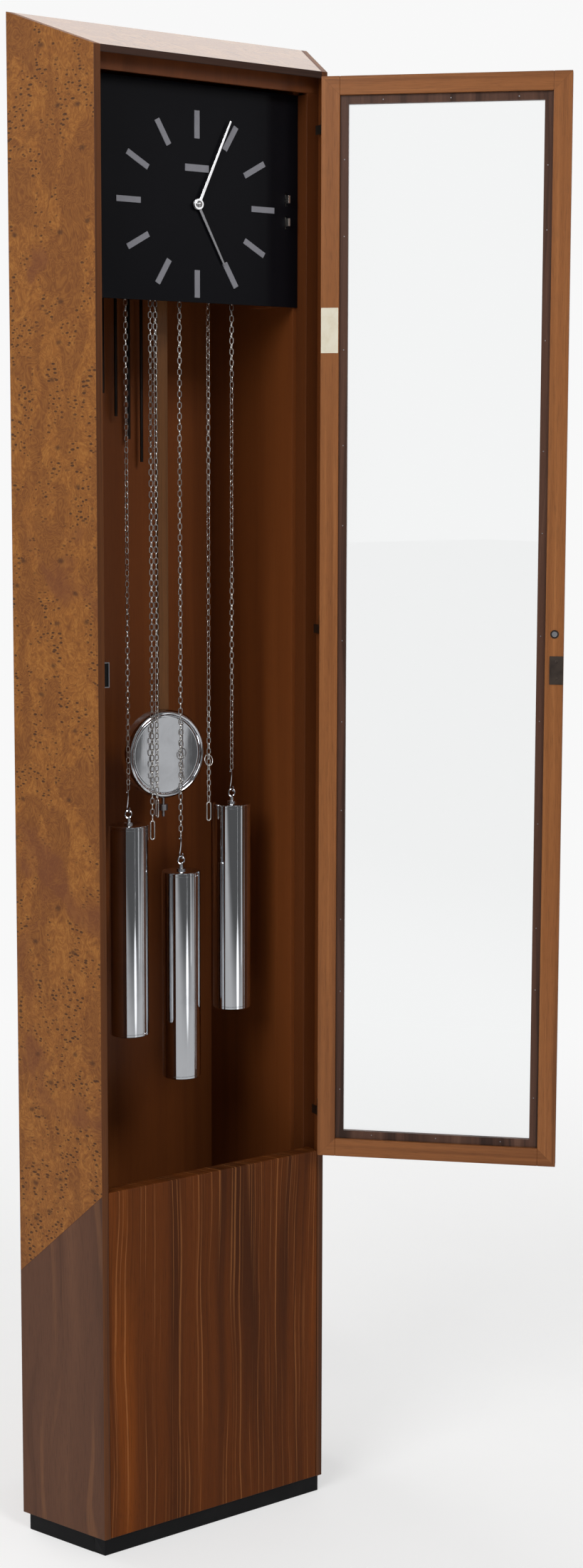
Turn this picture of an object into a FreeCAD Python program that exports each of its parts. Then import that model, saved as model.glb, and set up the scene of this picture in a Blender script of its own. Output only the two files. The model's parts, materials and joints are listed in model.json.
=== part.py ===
"""Longcase clock with a flared front: millimetres, +Z up, front towards -Y, origin on the floor."""

import FreeCAD
import Part

import math
import os
import re

import Sketcher

# Driving dimensions, in millimetres and degrees, one cell each.
SIZES = {
    # case
    "front_width": 342.0, "front_height": 1930.0, "lip": 9.0, "flare_side": 54.0,
    "flare_rise": 53.0, "flare_depth": 130.0, "case_depth": 264.0, "plinth_height": 24.0,
    "plinth_inset": 5.0, "plinth_board": 18.0, "rear_plinth_width": 280.0, "runner_width": 40.0,
    "bottom_thickness": 12.0, "back_thickness": 6.0, "carcass_inset": 3.0, "carcass_board": 10.0,
    "carcass_setback": 48.0, "flare_back_thickness": 8.0, "panel_thickness": 14.0,
    "sill_top": 492.0, "sill_rail_height": 60.0, "sill_depth": 21.0,
    "stop_width": 9.0, "stop_depth": 4.5, "top_stop_height": 16.0,
    # door
    "door_thickness": 20.0, "door_gap": 1.5, "hinge_gap": 2.0, "stile_width": 24.0,
    "bead_width": 11.0, "bead_thickness": 6.0, "glass_thickness": 3.0, "glass_clearance": 0.3,
    "door_open_angle": 138.0, "hinge_offset": 3.0, "hinge_height": 24.0, "knuckle_radius": 2.3,
    "hinge_pin_radius": 1.2, "pin_clearance": 0.05, "leaf_thickness": 0.6, "leaf_length": 16.0,
    "leaf_clearance": 0.1, "upper_hinge_inset": 56.5, "middle_hinge_rise": 719.5,
    "lower_hinge_rise": 60.5, "knob_rise": 712.5, "knob_radius": 9.0, "knob_length": 20.0,
    "knob_neck_radius": 4.5, "knob_neck_length": 8.0, "knob_screw_radius": 2.0,
    "knob_recess_radius": 5.5, "knob_recess_depth": 4.0, "keeper_height": 37.0,
    "keeper_width": 18.0, "keeper_thickness": 0.8, "keeper_rise": 665.5,
    "catch_width": 9.0, "catch_height": 32.0, "catch_depth": 14.0, "catch_clearance": 0.3,
    # dial
    "dial_cheek_width": 7.0, "dial_height": 274.0, "dial_thickness": 3.0, "dial_centre_drop": 150.5,
    "dial_bore_radius": 6.0, "marker_circle_radius": 100.0, "marker_length": 35.0,
    "marker_width": 7.5, "marker_thickness": 1.5, "plate_bar_width": 35.0, "plate_bar_height": 9.0,
    "plate_bar_rise": 45.5, "minute_hand_length": 118.0, "minute_hand_width": 4.2,
    "hour_hand_length": 84.0, "hour_hand_width": 4.2, "hand_thickness": 1.2, "hand_boss_radius": 7.0,
    "minute_hand_angle": 24.0, "hour_hand_angle": 152.0, "hand_gap": 1.2,
    "lever_inset": 18.0, "upper_lever_rise": 15.5, "lower_lever_drop": 14.0, "lever_width": 3.0,
    "lever_tab_height": 10.0, "lever_tab_depth": 7.0, "lever_stem_height": 4.0, "lever_travel": 6.0,
    "lever_clearance": 0.3, "lever_foot_height": 16.5, "lever_foot_width": 9.0, "lever_foot_thickness": 2.0,
    # movement
    "seat_drop": 94.5, "seat_thickness": 15.0, "seat_front": 54.0, "seat_back": 128.0,
    "cleat_height": 12.0, "cleat_width": 20.0, "movement_width": 160.0, "movement_height": 170.0,
    "brass_thickness": 3.0, "front_plate_setback": 62.0, "plate_spacing": 53.0, "pillar_radius": 4.0,
    "pillar_inset": 9.0, "arbor_radius": 2.5, "pivot_radius": 1.5, "running_clearance": 0.05,
    "centre_arbor_radius": 2.0, "hour_pipe_wall": 0.9, "hour_pipe_clearance": 0.3,
    "gear_thickness": 2.0, "gear_module": 0.8, "gear_gap": 1.0, "gear_tip_clearance": 0.15,
    "tooth_depth": 1.4, "motion_stud_radius": 1.5,
    # chains and weights
    "chain_setback": 90.0, "chain_spacing": 80.0, "chain_pitch_radius": 18.2, "chain_width": 6.0,
    "chain_wheel_rise": 32.0, "chain_wheel_rim": 2.0, "chain_wheel_flange": 1.5, "chain_side_gap": 0.5,
    "weight_radius": 26.0, "weight_length": 282.0, "weight_cap_rim": 1.2,
    "weight_stem_radius": 3.5, "weight_stem_length": 9.0, "weight_eye_radius": 5.5,
    "weight_eye_wire": 1.6, "weight_hook_length": 26.0,
    "left_weight_drop": 1022.0, "centre_weight_drop": 1091.0, "right_weight_drop": 1006.0,
    "left_end_drop": 764.0, "centre_end_drop": 735.0, "right_end_drop": 746.0,
    "end_link_length": 27.0, "end_link_width": 8.0, "end_link_wire": 2.0,
    # pendulum and chimes
    "pendulum_setback": 137.0, "pendulum_pivot_rise": 140.0, "pendulum_rod_width": 16.0,
    "pendulum_rod_thickness": 5.0, "pendulum_length": 764.0, "bob_radius": 60.0, "bob_thickness": 26.0,
    "bob_rim": 5.0, "bob_dish": 4.0, "rating_nut_radius": 6.0, "rating_nut_height": 8.0,
    "rating_screw_radius": 2.0, "rating_screw_length": 26.0, "suspension_width": 10.0,
    "suspension_thickness": 0.4, "suspension_length": 22.0, "cock_width": 22.0, "cock_height": 16.0,
    "suspension_gap": 0.4,
    "chime_block_width": 96.0, "chime_block_height": 40.0, "chime_block_depth": 26.0,
    "chime_block_rise": 40.0, "chime_rod_radius": 2.2, "chime_rod_pitch": 20.0,
    "chime_rod_length": 272.0, "chime_rod_step": 31.0, "overrun": 5.0,
}
# Dimensions that follow from the ones above, worked out by the sheet itself.
DERIVED = {
    "carcass_width": "front_width - 2 * lip - 2 * carcass_inset",
    "door_low": "sill_top + door_gap",
    "door_high": "front_height - lip - door_gap",
    "upper_hinge_height": "door_high - upper_hinge_inset",
    "middle_hinge_height": "door_low + middle_hinge_rise",
    "lower_hinge_height": "door_low + lower_hinge_rise",
    "knob_height": "door_low + knob_rise",
    "keeper_centre_height": "door_low + keeper_rise",
    "dial_width": "front_width - 2 * lip - 2 * dial_cheek_width",
    "dial_top": "front_height - lip - top_stop_height",
    "dial_bottom": "dial_top - dial_height",
    "dial_centre_height": "dial_top - dial_centre_drop",
    "lever_offset": "dial_width / 2 - lever_inset",
    "seat_height": "dial_centre_height - seat_drop",
    "chain_wheel_height": "seat_height + chain_wheel_rise",
    "left_weight_bottom": "chain_wheel_height - left_weight_drop",
    "centre_weight_bottom": "chain_wheel_height - centre_weight_drop",
    "right_weight_bottom": "chain_wheel_height - right_weight_drop",
    "left_end_bottom": "chain_wheel_height - left_end_drop",
    "centre_end_bottom": "chain_wheel_height - centre_end_drop",
    "right_end_bottom": "chain_wheel_height - right_end_drop",
    "pendulum_pivot_height": "seat_height + pendulum_pivot_rise",
    "bob_height": "pendulum_pivot_height - pendulum_length",
    "chime_block_bottom": "seat_height + chime_block_rise",
    "chime_rod_bottom": "chime_block_bottom - chime_rod_length",
}
MARKER_COUNT = 12
CHIME_ROD_COUNT = 4
CANNON_TEETH = 12
MINUTE_WHEEL_TEETH = 36
MINUTE_PINION_TEETH = 10
HOUR_WHEEL_TEETH = 40
TOOTH_TIP_SHARE = 0.22
TOOTH_ROOT_SHARE = 0.32

doc = FreeCAD.newDocument("longcase_clock")
sheet = doc.addObject("Spreadsheet::Sheet", "sizes")
cells = {alias: str(value) for alias, value in SIZES.items()}
cells.update((alias, f"={text}") for alias, text in DERIVED.items())
for row, (alias, text) in enumerate(cells.items(), start=1):
    sheet.set(f"A{row}", alias)
    sheet.setAlias(f"B{row}", alias)
    sheet.set(f"B{row}", text)
doc.recompute()

nodes = []


def size(text):
    """Value of an expression in the sheet's aliases."""
    return float(sheet.evalExpression(qualified(text)))


def qualified(text):
    """Expression text with each alias read from the sheet."""
    return re.sub(r"\b[a-z]\w*", r"sizes.\g<0>", text)


def bind(item, name, text):
    item.setExpression(name, qualified(text))


def place(item, x="0", y="0", z="0"):
    """Places an item at expressions; y counts backwards from the front of the case."""
    bind(item, "Placement.Base.x", x)
    bind(item, "Placement.Base.y", f"-case_depth / 2 + ({y})")
    bind(item, "Placement.Base.z", z)
    return item


def put(item, x, y, z):
    """Places an item inside a group, at expressions in the group's own frame."""
    bind(item, "Placement.Base.x", x)
    bind(item, "Placement.Base.y", y)
    bind(item, "Placement.Base.z", z)
    return item


def turn(item, axis, angle):
    item.Placement.Rotation = FreeCAD.Rotation(FreeCAD.Vector(*axis), angle)
    return item


def keep(item, name):
    """Lists an item as a piece of the clock under its own name."""
    item.Label = name
    nodes.append(item)
    return item


def box(name, length, width, height):
    item = doc.addObject("Part::Box", name)
    bind(item, "Length", length)
    bind(item, "Width", width)
    bind(item, "Height", height)
    return item


def cylinder(name, radius, height):
    item = doc.addObject("Part::Cylinder", name)
    bind(item, "Radius", radius)
    bind(item, "Height", height)
    return item


def wedge(name, depth, front_x, front_z, rear_x, rear_z):
    """Board whose front and rear sections are rectangles, each given by its limits in x and z."""
    item = doc.addObject("Part::Wedge", name)
    limits = dict(zip(("Xmin", "Xmax", "Zmin", "Zmax"), (*front_x, *front_z)))
    limits.update(zip(("X2min", "X2max", "Z2min", "Z2max"), (*rear_x, *rear_z)))
    limits.update(Ymin="0", Ymax=depth)
    item.Ymin, item.Ymax = 0, size(depth)
    for name_of_limit, text in limits.items():
        bind(item, name_of_limit, text)
    return item


def group(name, items):
    item = doc.addObject("Part::Compound", name)
    item.Links = items
    return item


def fuse(name, items):
    item = doc.addObject("Part::MultiFuse", name)
    item.Shapes = items
    return item


def cut(name, base, tool):
    item = doc.addObject("Part::Cut", name)
    item.Base = base
    item.Tool = tool
    return item


def plane(body, role):
    return next(part for part in body.Origin.OriginFeatures if part.Role == role)


def sketch_on(body, role):
    sketch = body.newObject("Sketcher::SketchObject", f"{body.Name}_sketch")
    sketch.AttachmentSupport = [(plane(body, role), "")]
    sketch.MapMode = "FlatFace"
    return sketch


def outline(sketch, points):
    """Closed outline through points given as pairs of expressions, each bound to the sheet."""
    values = [FreeCAD.Vector(size(x), size(y), 0) for x, y in points]
    count = len(points)
    first = sketch.GeometryCount
    for index in range(count):
        sketch.addGeometry(Part.LineSegment(values[index], values[(index + 1) % count]))
    for index in range(count):
        following = first + (index + 1) % count
        sketch.addConstraint(Sketcher.Constraint("Coincident", first + index, 2, following, 1))
    for index, (x, y) in enumerate(points):
        for kind, text in (("DistanceX", x), ("DistanceY", y)):
            if text == "0":
                axis = -2 if kind == "DistanceX" else -1
                sketch.addConstraint(Sketcher.Constraint("PointOnObject", first + index, 1, axis))
                continue
            rule = Sketcher.Constraint(kind, -1, 1, first + index, 1, size(text))
            number = sketch.addConstraint(rule)
            sketch.setExpression(f"Constraints[{number}]", qualified(text))


def circle(sketch, x, y, radius):
    """Circle whose centre and radius are expressions, each bound to the sheet."""
    centre = FreeCAD.Vector(size(x), size(y), 0)
    geometry = sketch.addGeometry(Part.Circle(centre, FreeCAD.Vector(0, 0, 1), size(radius)))
    rules = [("Radius", (geometry,), radius)]
    rules += [(kind, (-1, 1, geometry, 3), text) for kind, text in (("DistanceX", x), ("DistanceY", y))]
    for kind, targets, text in rules:
        if text == "0":
            axis = -2 if kind == "DistanceX" else -1
            sketch.addConstraint(Sketcher.Constraint("PointOnObject", geometry, 3, axis))
            continue
        number = sketch.addConstraint(Sketcher.Constraint(kind, *targets, size(text)))
        sketch.setExpression(f"Constraints[{number}]", qualified(text))


def pad(name, role, points, thickness, circles=()):
    """Padded plate: outline and round holes on an origin plane."""
    body = doc.addObject("PartDesign::Body", name)
    sketch = sketch_on(body, role)
    outline(sketch, points)
    for x, y, radius in circles:
        circle(sketch, x, y, radius)
    feature = body.newObject("PartDesign::Pad", f"{name}_pad")
    feature.Profile = sketch
    bind(feature, "Length", thickness)
    feature.Reversed = role == "XZ_Plane"
    return body


def spin(name, points):
    """Turned piece: half section of (radius, height) points revolved about Z."""
    body = doc.addObject("PartDesign::Body", name)
    sketch = sketch_on(body, "XZ_Plane")
    outline(sketch, points)
    feature = body.newObject("PartDesign::Revolution", f"{name}_turn")
    feature.Profile = sketch
    feature.ReferenceAxis = (sketch, ["V_Axis"])
    return body


def rectangle(left, low, right, high):
    return [(left, low), (right, low), (right, high), (left, high)]


# Case
INNER = "front_width / 2 - lip"
REAR_INNER = "front_width / 2 - lip + flare_side"
SLANT = "flare_side / flare_depth"


def side_panel(name, sign):
    front = sorted((f"{sign}(front_width / 2 - lip)", f"{sign}(front_width / 2)"), key=size)
    rear = sorted((f"{sign}({REAR_INNER})", f"{sign}(front_width / 2 + flare_side)"), key=size)
    panel = wedge(name, "flare_depth", front, ("plinth_height", "front_height"), rear,
                  ("plinth_height", "front_height + flare_rise"))
    return keep(place(panel), name)


side_panel("left_side_panel", "-")
side_panel("right_side_panel", "")
keep(place(wedge(
    "top_panel", "flare_depth", (f"-({INNER})", INNER), ("front_height - lip", "front_height"),
    (f"-({REAR_INNER})", REAR_INNER), ("front_height + flare_rise - lip", "front_height + flare_rise"))),
    "top_panel")

base_top = "plinth_height + bottom_thickness"
keep(place(wedge(
    "bottom_board", "flare_depth - panel_thickness",
    (f"-({INNER} + {SLANT} * panel_thickness)", f"{INNER} + {SLANT} * panel_thickness"),
    ("plinth_height", base_top), (f"-({REAR_INNER})", REAR_INNER), ("plinth_height", base_top)),
    y="panel_thickness"), "bottom_board")
keep(place(box("lower_front_panel", f"2 * ({INNER})", "panel_thickness", "sill_top - plinth_height"),
           f"-({INNER})", "0", "plinth_height"), "lower_front_panel")
keep(place(box("sill_rail", f"2 * ({INNER})", "sill_depth - panel_thickness", "sill_rail_height"),
           f"-({INNER})", "panel_thickness", "sill_top - sill_rail_height"), "sill_rail")

CARCASS_TOP = "front_height"
CARCASS_REAR = "case_depth - back_thickness"
keep(group("carcass_sides", [
    place(box(f"carcass_side_{index}", "carcass_board", f"{CARCASS_REAR} - carcass_setback",
              f"{CARCASS_TOP} - carcass_board - ({base_top})"), x, "carcass_setback", base_top)
    for index, x in enumerate(("-carcass_width / 2", "carcass_width / 2 - carcass_board"))]), "carcass_sides")
keep(place(box("carcass_top", "carcass_width", f"{CARCASS_REAR} - carcass_setback", "carcass_board"),
           "-carcass_width / 2", "carcass_setback", f"{CARCASS_TOP} - carcass_board"), "carcass_top")
keep(place(box("carcass_floor", "carcass_width", f"{CARCASS_REAR} - flare_depth", "bottom_thickness"),
           "-carcass_width / 2", "flare_depth", "plinth_height"), "carcass_floor")
keep(place(box("back_panel", "carcass_width", "back_thickness", f"{CARCASS_TOP} - plinth_height"),
           "-carcass_width / 2", CARCASS_REAR, "plinth_height"), "back_panel")

# Boards that close the flare behind, between it and the carcass
closer_front = "flare_depth - flare_back_thickness"
closer_x = f"{INNER} + {SLANT} * ({closer_front})"
closer_z = f"front_height - lip + flare_rise / flare_depth * ({closer_front})"


def flare_closer(name, sign):
    front = sorted((f"{sign}(carcass_width / 2)", f"{sign}({closer_x})"), key=size)
    rear = sorted((f"{sign}(carcass_width / 2)", f"{sign}({REAR_INNER})"), key=size)
    return place(wedge(name, "flare_back_thickness", front, (base_top, closer_z), rear,
                       (base_top, "front_height + flare_rise - lip")), y=closer_front)


keep(group("flare_back_boards", [
    flare_closer("flare_closer_left", "-"), flare_closer("flare_closer_right", ""),
    place(wedge("flare_closer_top", "flare_back_thickness", ("-carcass_width / 2", "carcass_width / 2"),
                (CARCASS_TOP, closer_z), ("-carcass_width / 2", "carcass_width / 2"),
                (CARCASS_TOP, "front_height + flare_rise - lip")), y=closer_front)]), "flare_back_boards")

# Door stops and the cheeks that line the opening behind them; both run down behind the sill rail
LINING_FOOT = "sill_top - sill_rail_height"
stop_front_x = f"{INNER} + {SLANT} * sill_depth"
stop_rear_x = f"{INNER} + {SLANT} * (sill_depth + stop_depth)"
cheek_rear_x = f"{INNER} + {SLANT} * carcass_setback"
STOP_TOP = "front_height - lip"


def side_strip(name, sign, depth, y, inner, front_outer, rear_outer, low, high):
    front = sorted((f"{sign}({inner})", f"{sign}({front_outer})"), key=size)
    rear = sorted((f"{sign}({inner})", f"{sign}({rear_outer})"), key=size)
    return place(wedge(name, depth, front, (low, high), rear, (low, high)), y=y)


top_stop_z = f"{STOP_TOP} + flare_rise / flare_depth * sill_depth"
keep(group("door_stops", [
    *(side_strip(f"door_stop_{word}", sign, "stop_depth", "sill_depth", f"{INNER} - stop_width",
                 stop_front_x, stop_rear_x, LINING_FOOT, f"{STOP_TOP} - top_stop_height")
      for word, sign in (("left", "-"), ("right", ""))),
    place(wedge("door_stop_top", "stop_depth", (f"-({stop_front_x})", stop_front_x),
                (f"{STOP_TOP} - top_stop_height", top_stop_z), (f"-({stop_rear_x})", stop_rear_x),
                (f"{STOP_TOP} - top_stop_height", f"{top_stop_z} + flare_rise / flare_depth * stop_depth")),
          y="sill_depth")]), "door_stops")

DIAL_TOP = "dial_top"
cheek_front = "sill_depth + stop_depth"
keep(group("dial_cheeks", [
    side_strip(f"dial_cheek_{word}", sign, f"carcass_setback - ({cheek_front})", cheek_front,
               "dial_width / 2", stop_rear_x, cheek_rear_x, LINING_FOOT, DIAL_TOP)
    for word, sign in (("left", "-"), ("right", ""))]), "dial_cheeks")

# Plinth: front board, two flared sides, rear board and the runner down the middle
PLINTH_SLANT = "plinth_inset + plinth_board"
plinth_front_x = f"front_width / 2 - plinth_inset + {SLANT} * ({PLINTH_SLANT})"
plinth_rear_x = f"front_width / 2 - plinth_inset + {SLANT} * (flare_depth - plinth_inset)"


def plinth_side(name, sign):
    front = sorted((f"{sign}({plinth_front_x})", f"{sign}({plinth_front_x} - plinth_board)"), key=size)
    rear = sorted((f"{sign}({plinth_rear_x})", f"{sign}({plinth_rear_x} - plinth_board)"), key=size)
    return place(wedge(name, f"flare_depth - plinth_inset - ({PLINTH_SLANT})", front, ("0", "plinth_height"),
                       rear, ("0", "plinth_height")), y=PLINTH_SLANT)


plinth_x = f"front_width / 2 - plinth_inset + {SLANT} * plinth_inset"
keep(group("plinth_frame", [
    place(wedge("plinth_front", "plinth_board", (f"-({plinth_x})", plinth_x), ("0", "plinth_height"),
                (f"-({plinth_front_x})", plinth_front_x), ("0", "plinth_height")), y="plinth_inset"),
    plinth_side("plinth_left", "-"), plinth_side("plinth_right", ""),
    place(box("plinth_rear", "rear_plinth_width", "plinth_board", "plinth_height"),
          "-rear_plinth_width / 2", f"{CARCASS_REAR} - plinth_board", "0")]), "plinth_frame")
keep(place(box("plinth_runner", "runner_width", f"{CARCASS_REAR} - plinth_board - ({PLINTH_SLANT})",
               "plinth_height"), "-runner_width / 2", PLINTH_SLANT, "0"), "plinth_runner")

# Door: every piece is drawn shut, in a frame at the hinge line, and the group is swung open
HINGE_X = f"{INNER} - hinge_gap / 4"
DOOR_EDGE = "hinge_gap * 3 / 4"
DOOR_WIDTH = f"2 * ({INNER}) - hinge_gap - door_gap"
DOOR_LOW = "door_low"
DOOR_HIGH = "door_high"
DOOR_FRONT = "hinge_offset"


def hang(name, items):
    """Group of door pieces, swung about the hinge line."""
    leaf = place(group(name, items), HINGE_X, "-hinge_offset", "0")
    leaf.Placement.Rotation = FreeCAD.Rotation(FreeCAD.Vector(0, 0, 1), size("door_open_angle"))
    bind(leaf, "Placement.Rotation.Angle", "door_open_angle")
    return keep(leaf, name)


def door_box(name, left, right, front, rear, low, high):
    """Box on the door: left and right count from the hinged edge towards the free edge."""
    item = box(name, f"({right}) - ({left})", f"({rear}) - ({front})", f"({high}) - ({low})")
    return put(item, f"-({DOOR_EDGE}) - ({right})", front, low)


DOOR_REAR = "hinge_offset + door_thickness"
RAIL_RIGHT = f"{DOOR_WIDTH} - stile_width"
recess = put(cylinder("knob_recess", "knob_recess_radius", "knob_recess_depth + overrun"),
             f"-({DOOR_EDGE}) - ({DOOR_WIDTH} - stile_width / 2)", f"{DOOR_REAR} + overrun", "knob_height")
shank = put(cylinder("knob_shank_hole", "knob_screw_radius + pin_clearance", "door_thickness + 2 * overrun"),
            f"-({DOOR_EDGE}) - ({DOOR_WIDTH} - stile_width / 2)", f"{DOOR_REAR} + overrun", "knob_height")
for tool in (recess, shank):
    turn(tool, (1, 0, 0), 90)
latch_blank = door_box("latch_stile_blank", RAIL_RIGHT, DOOR_WIDTH, DOOR_FRONT, DOOR_REAR, DOOR_LOW, DOOR_HIGH)
hang("door_stiles", [
    door_box("hinge_stile", "0", "stile_width", DOOR_FRONT, DOOR_REAR, DOOR_LOW, DOOR_HIGH),
    cut("latch_stile", latch_blank, fuse("knob_holes", [recess, shank]))])
hang("door_rails", [
    door_box("bottom_rail", "stile_width", RAIL_RIGHT, DOOR_FRONT, DOOR_REAR, DOOR_LOW,
             f"{DOOR_LOW} + stile_width"),
    door_box("top_rail", "stile_width", RAIL_RIGHT, DOOR_FRONT, DOOR_REAR, f"{DOOR_HIGH} - stile_width",
             DOOR_HIGH)])
pane_front = "hinge_offset + door_thickness / 2 - glass_thickness"
bead_front = "hinge_offset + door_thickness / 2"
hang("door_glass", [door_box(
    "pane", "stile_width + glass_clearance", f"{RAIL_RIGHT} - glass_clearance", pane_front, bead_front,
    f"{DOOR_LOW} + stile_width + glass_clearance", f"{DOOR_HIGH} - stile_width - glass_clearance")])
bead_rear = f"{bead_front} + bead_thickness"
hang("glazing_beads", [
    door_box("hinge_bead", "stile_width", "stile_width + bead_width", bead_front, bead_rear,
             f"{DOOR_LOW} + stile_width", f"{DOOR_HIGH} - stile_width"),
    door_box("latch_bead", f"{RAIL_RIGHT} - bead_width", RAIL_RIGHT, bead_front, bead_rear,
             f"{DOOR_LOW} + stile_width", f"{DOOR_HIGH} - stile_width"),
    door_box("bottom_bead", "stile_width + bead_width", f"{RAIL_RIGHT} - bead_width", bead_front, bead_rear,
             f"{DOOR_LOW} + stile_width", f"{DOOR_LOW} + stile_width + bead_width"),
    door_box("top_bead", "stile_width + bead_width", f"{RAIL_RIGHT} - bead_width", bead_front, bead_rear,
             f"{DOOR_HIGH} - stile_width - bead_width", f"{DOOR_HIGH} - stile_width")])
hang("catch_keeper", [door_box(
    "keeper", f"{DOOR_WIDTH} - keeper_width", DOOR_WIDTH, DOOR_REAR, f"{DOOR_REAR} + keeper_thickness",
    "keeper_centre_height - keeper_height / 2", "keeper_centre_height + keeper_height / 2")])

knob = spin("knob_turning", [
    ("0", "0"), ("knob_neck_radius", "0"), ("knob_neck_radius", "knob_neck_length"),
    ("knob_radius", "knob_neck_length"), ("knob_radius", "knob_length - knob_neck_radius"),
    ("knob_radius - knob_neck_radius", "knob_length"), ("0", "knob_length")])
SCREW_SEAT = "door_thickness - knob_recess_depth"
screw = spin("knob_screw", [
    ("0", f"-({SCREW_SEAT}) - knob_screw_radius"), ("2 * knob_screw_radius", f"-({SCREW_SEAT}) - knob_screw_radius"),
    ("2 * knob_screw_radius", f"-({SCREW_SEAT})"), ("knob_screw_radius", f"-({SCREW_SEAT})"),
    ("knob_screw_radius", "0"), ("0", "0")])
for piece in (knob, screw):
    put(piece, f"-({DOOR_EDGE}) - ({DOOR_WIDTH} - stile_width / 2)", DOOR_FRONT, "knob_height")
    turn(piece, (1, 0, 0), 90)
hang("door_knob", [knob, screw])

# Hinges: the case leaf carries the pin, the door leaf turns on it
HINGES = ("lower_hinge_height", "middle_hinge_height", "upper_hinge_height")
half = "hinge_height / 2"


def case_leaf(index, height):
    low = f"{height} - {half}"
    knuckle = put(cylinder(f"case_knuckle_{index}", "knuckle_radius", half), "0", "0", low)
    pin = put(cylinder(f"hinge_pin_{index}", "hinge_pin_radius", "hinge_height"), "0", "0", low)
    wing = put(box(f"case_wing_{index}", "leaf_thickness", "leaf_length", f"{half}"),
               "hinge_gap / 4 - leaf_clearance - leaf_thickness", "0", low)
    return fuse(f"case_leaf_{index}", [knuckle, pin, wing])


def door_leaf(index, height):
    low = f"{height} + leaf_clearance"
    tall = f"{half} - leaf_clearance"
    knuckle = put(cylinder(f"door_knuckle_{index}", "knuckle_radius", tall), "0", "0", low)
    wing = put(box(f"door_wing_{index}", "leaf_thickness", "leaf_length", tall), f"-({DOOR_EDGE})", "0", low)
    bore = put(cylinder(f"pin_bore_{index}", "hinge_pin_radius + pin_clearance", "hinge_height"), "0", "0", height)
    return cut(f"door_leaf_{index}", fuse(f"door_leaf_blank_{index}", [knuckle, wing]), bore)


keep(place(group("case_hinge_leaves", [case_leaf(i, text) for i, text in enumerate(HINGES)]),
           HINGE_X, "-hinge_offset", "0"), "case_hinge_leaves")
hang("door_hinge_leaves", [door_leaf(i, text) for i, text in enumerate(HINGES)])
keep(place(box("door_catch", "catch_width", "catch_depth", "catch_height"),
           f"-({INNER} - stop_width)", "sill_depth + catch_clearance",
           "keeper_centre_height - catch_height / 2"), "door_catch")

# Dial with its markers, bare name bar, hands and levers
UPPER_LEVER = "dial_centre_height + upper_lever_rise"
LOWER_LEVER = "dial_centre_height - lower_lever_drop"
DIAL_FRONT = "carcass_setback - dial_thickness"
slot_half = "lever_stem_height / 2 + lever_travel + lever_clearance"
slots = [place(box(f"lever_slot_{index}", "lever_width + 2 * lever_clearance", "dial_thickness + 2 * overrun",
                   f"2 * ({slot_half})"), "lever_offset - lever_width / 2 - lever_clearance",
               f"{DIAL_FRONT} - overrun", f"{height} - ({slot_half})")
         for index, height in enumerate((UPPER_LEVER, LOWER_LEVER))]
dial_blank = place(pad("dial_blank", "XZ_Plane",
                       rectangle("-dial_width / 2", "dial_bottom", "dial_width / 2", DIAL_TOP),
                       "dial_thickness", [("0", "dial_centre_height", "dial_bore_radius")]), y=DIAL_FRONT)
keep(cut("dial_panel", dial_blank, fuse("lever_slots", slots)), "dial_panel")


def marker(index):
    """Hour bar: drawn at twelve about the dial's centre, then turned to its hour."""
    low = "marker_circle_radius - marker_length / 2"
    bar = pad(f"marker_{index}", "XZ_Plane",
              rectangle("-marker_width / 2", low, "marker_width / 2", f"{low} + marker_length"),
              "marker_thickness")
    place(bar, y=f"{DIAL_FRONT} - marker_thickness", z="dial_centre_height")
    return turn(bar, (0, 1, 0), 360 * index / MARKER_COUNT)


name_bar = place(box("name_bar", "plate_bar_width", "marker_thickness", "plate_bar_height"),
                 "-plate_bar_width / 2", f"{DIAL_FRONT} - marker_thickness",
                 "dial_centre_height + plate_bar_rise - plate_bar_height / 2")
keep(group("dial_markers", [*(marker(index) for index in range(MARKER_COUNT)), name_bar]), "dial_markers")

PIPE_BORE = "centre_arbor_radius + hour_pipe_clearance"
PIPE_RADIUS = f"{PIPE_BORE} + hour_pipe_wall"
HOUR_FRONT = f"{DIAL_FRONT} - marker_thickness - hand_gap - hand_thickness"
MINUTE_FRONT = f"{HOUR_FRONT} - hand_gap - hand_thickness"


def hand(name, width, length, bore, front, angle):
    """Hand as a tapered blade with a round boss, pointing at twelve before it is turned."""
    blade = pad(f"{name}_blade", "XZ_Plane", [
        (f"-{width} / 2", "0"), (f"{width} / 2", "0"), (f"{width} / 3", length), (f"-{width} / 3", length)],
        "hand_thickness")
    boss = turn(cylinder(f"{name}_boss", "hand_boss_radius", "hand_thickness"), (1, 0, 0), -90)
    hole = turn(cylinder(f"{name}_hole", bore, "hand_thickness + 2 * overrun"), (1, 0, 0), -90)
    put(hole, "0", "-overrun", "0")
    item = place(cut(name, fuse(f"{name}_blank", [blade, boss]), hole), y=front, z="dial_centre_height")
    item.Placement.Rotation = FreeCAD.Rotation(FreeCAD.Vector(0, 1, 0), size(angle))
    bind(item, "Placement.Rotation.Angle", angle)
    return keep(item, name)


hand("hour_hand", "hour_hand_width", "hour_hand_length", PIPE_RADIUS, HOUR_FRONT, "hour_hand_angle")
hand("minute_hand", "minute_hand_width", "minute_hand_length", "centre_arbor_radius", MINUTE_FRONT,
     "minute_hand_angle")


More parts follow.
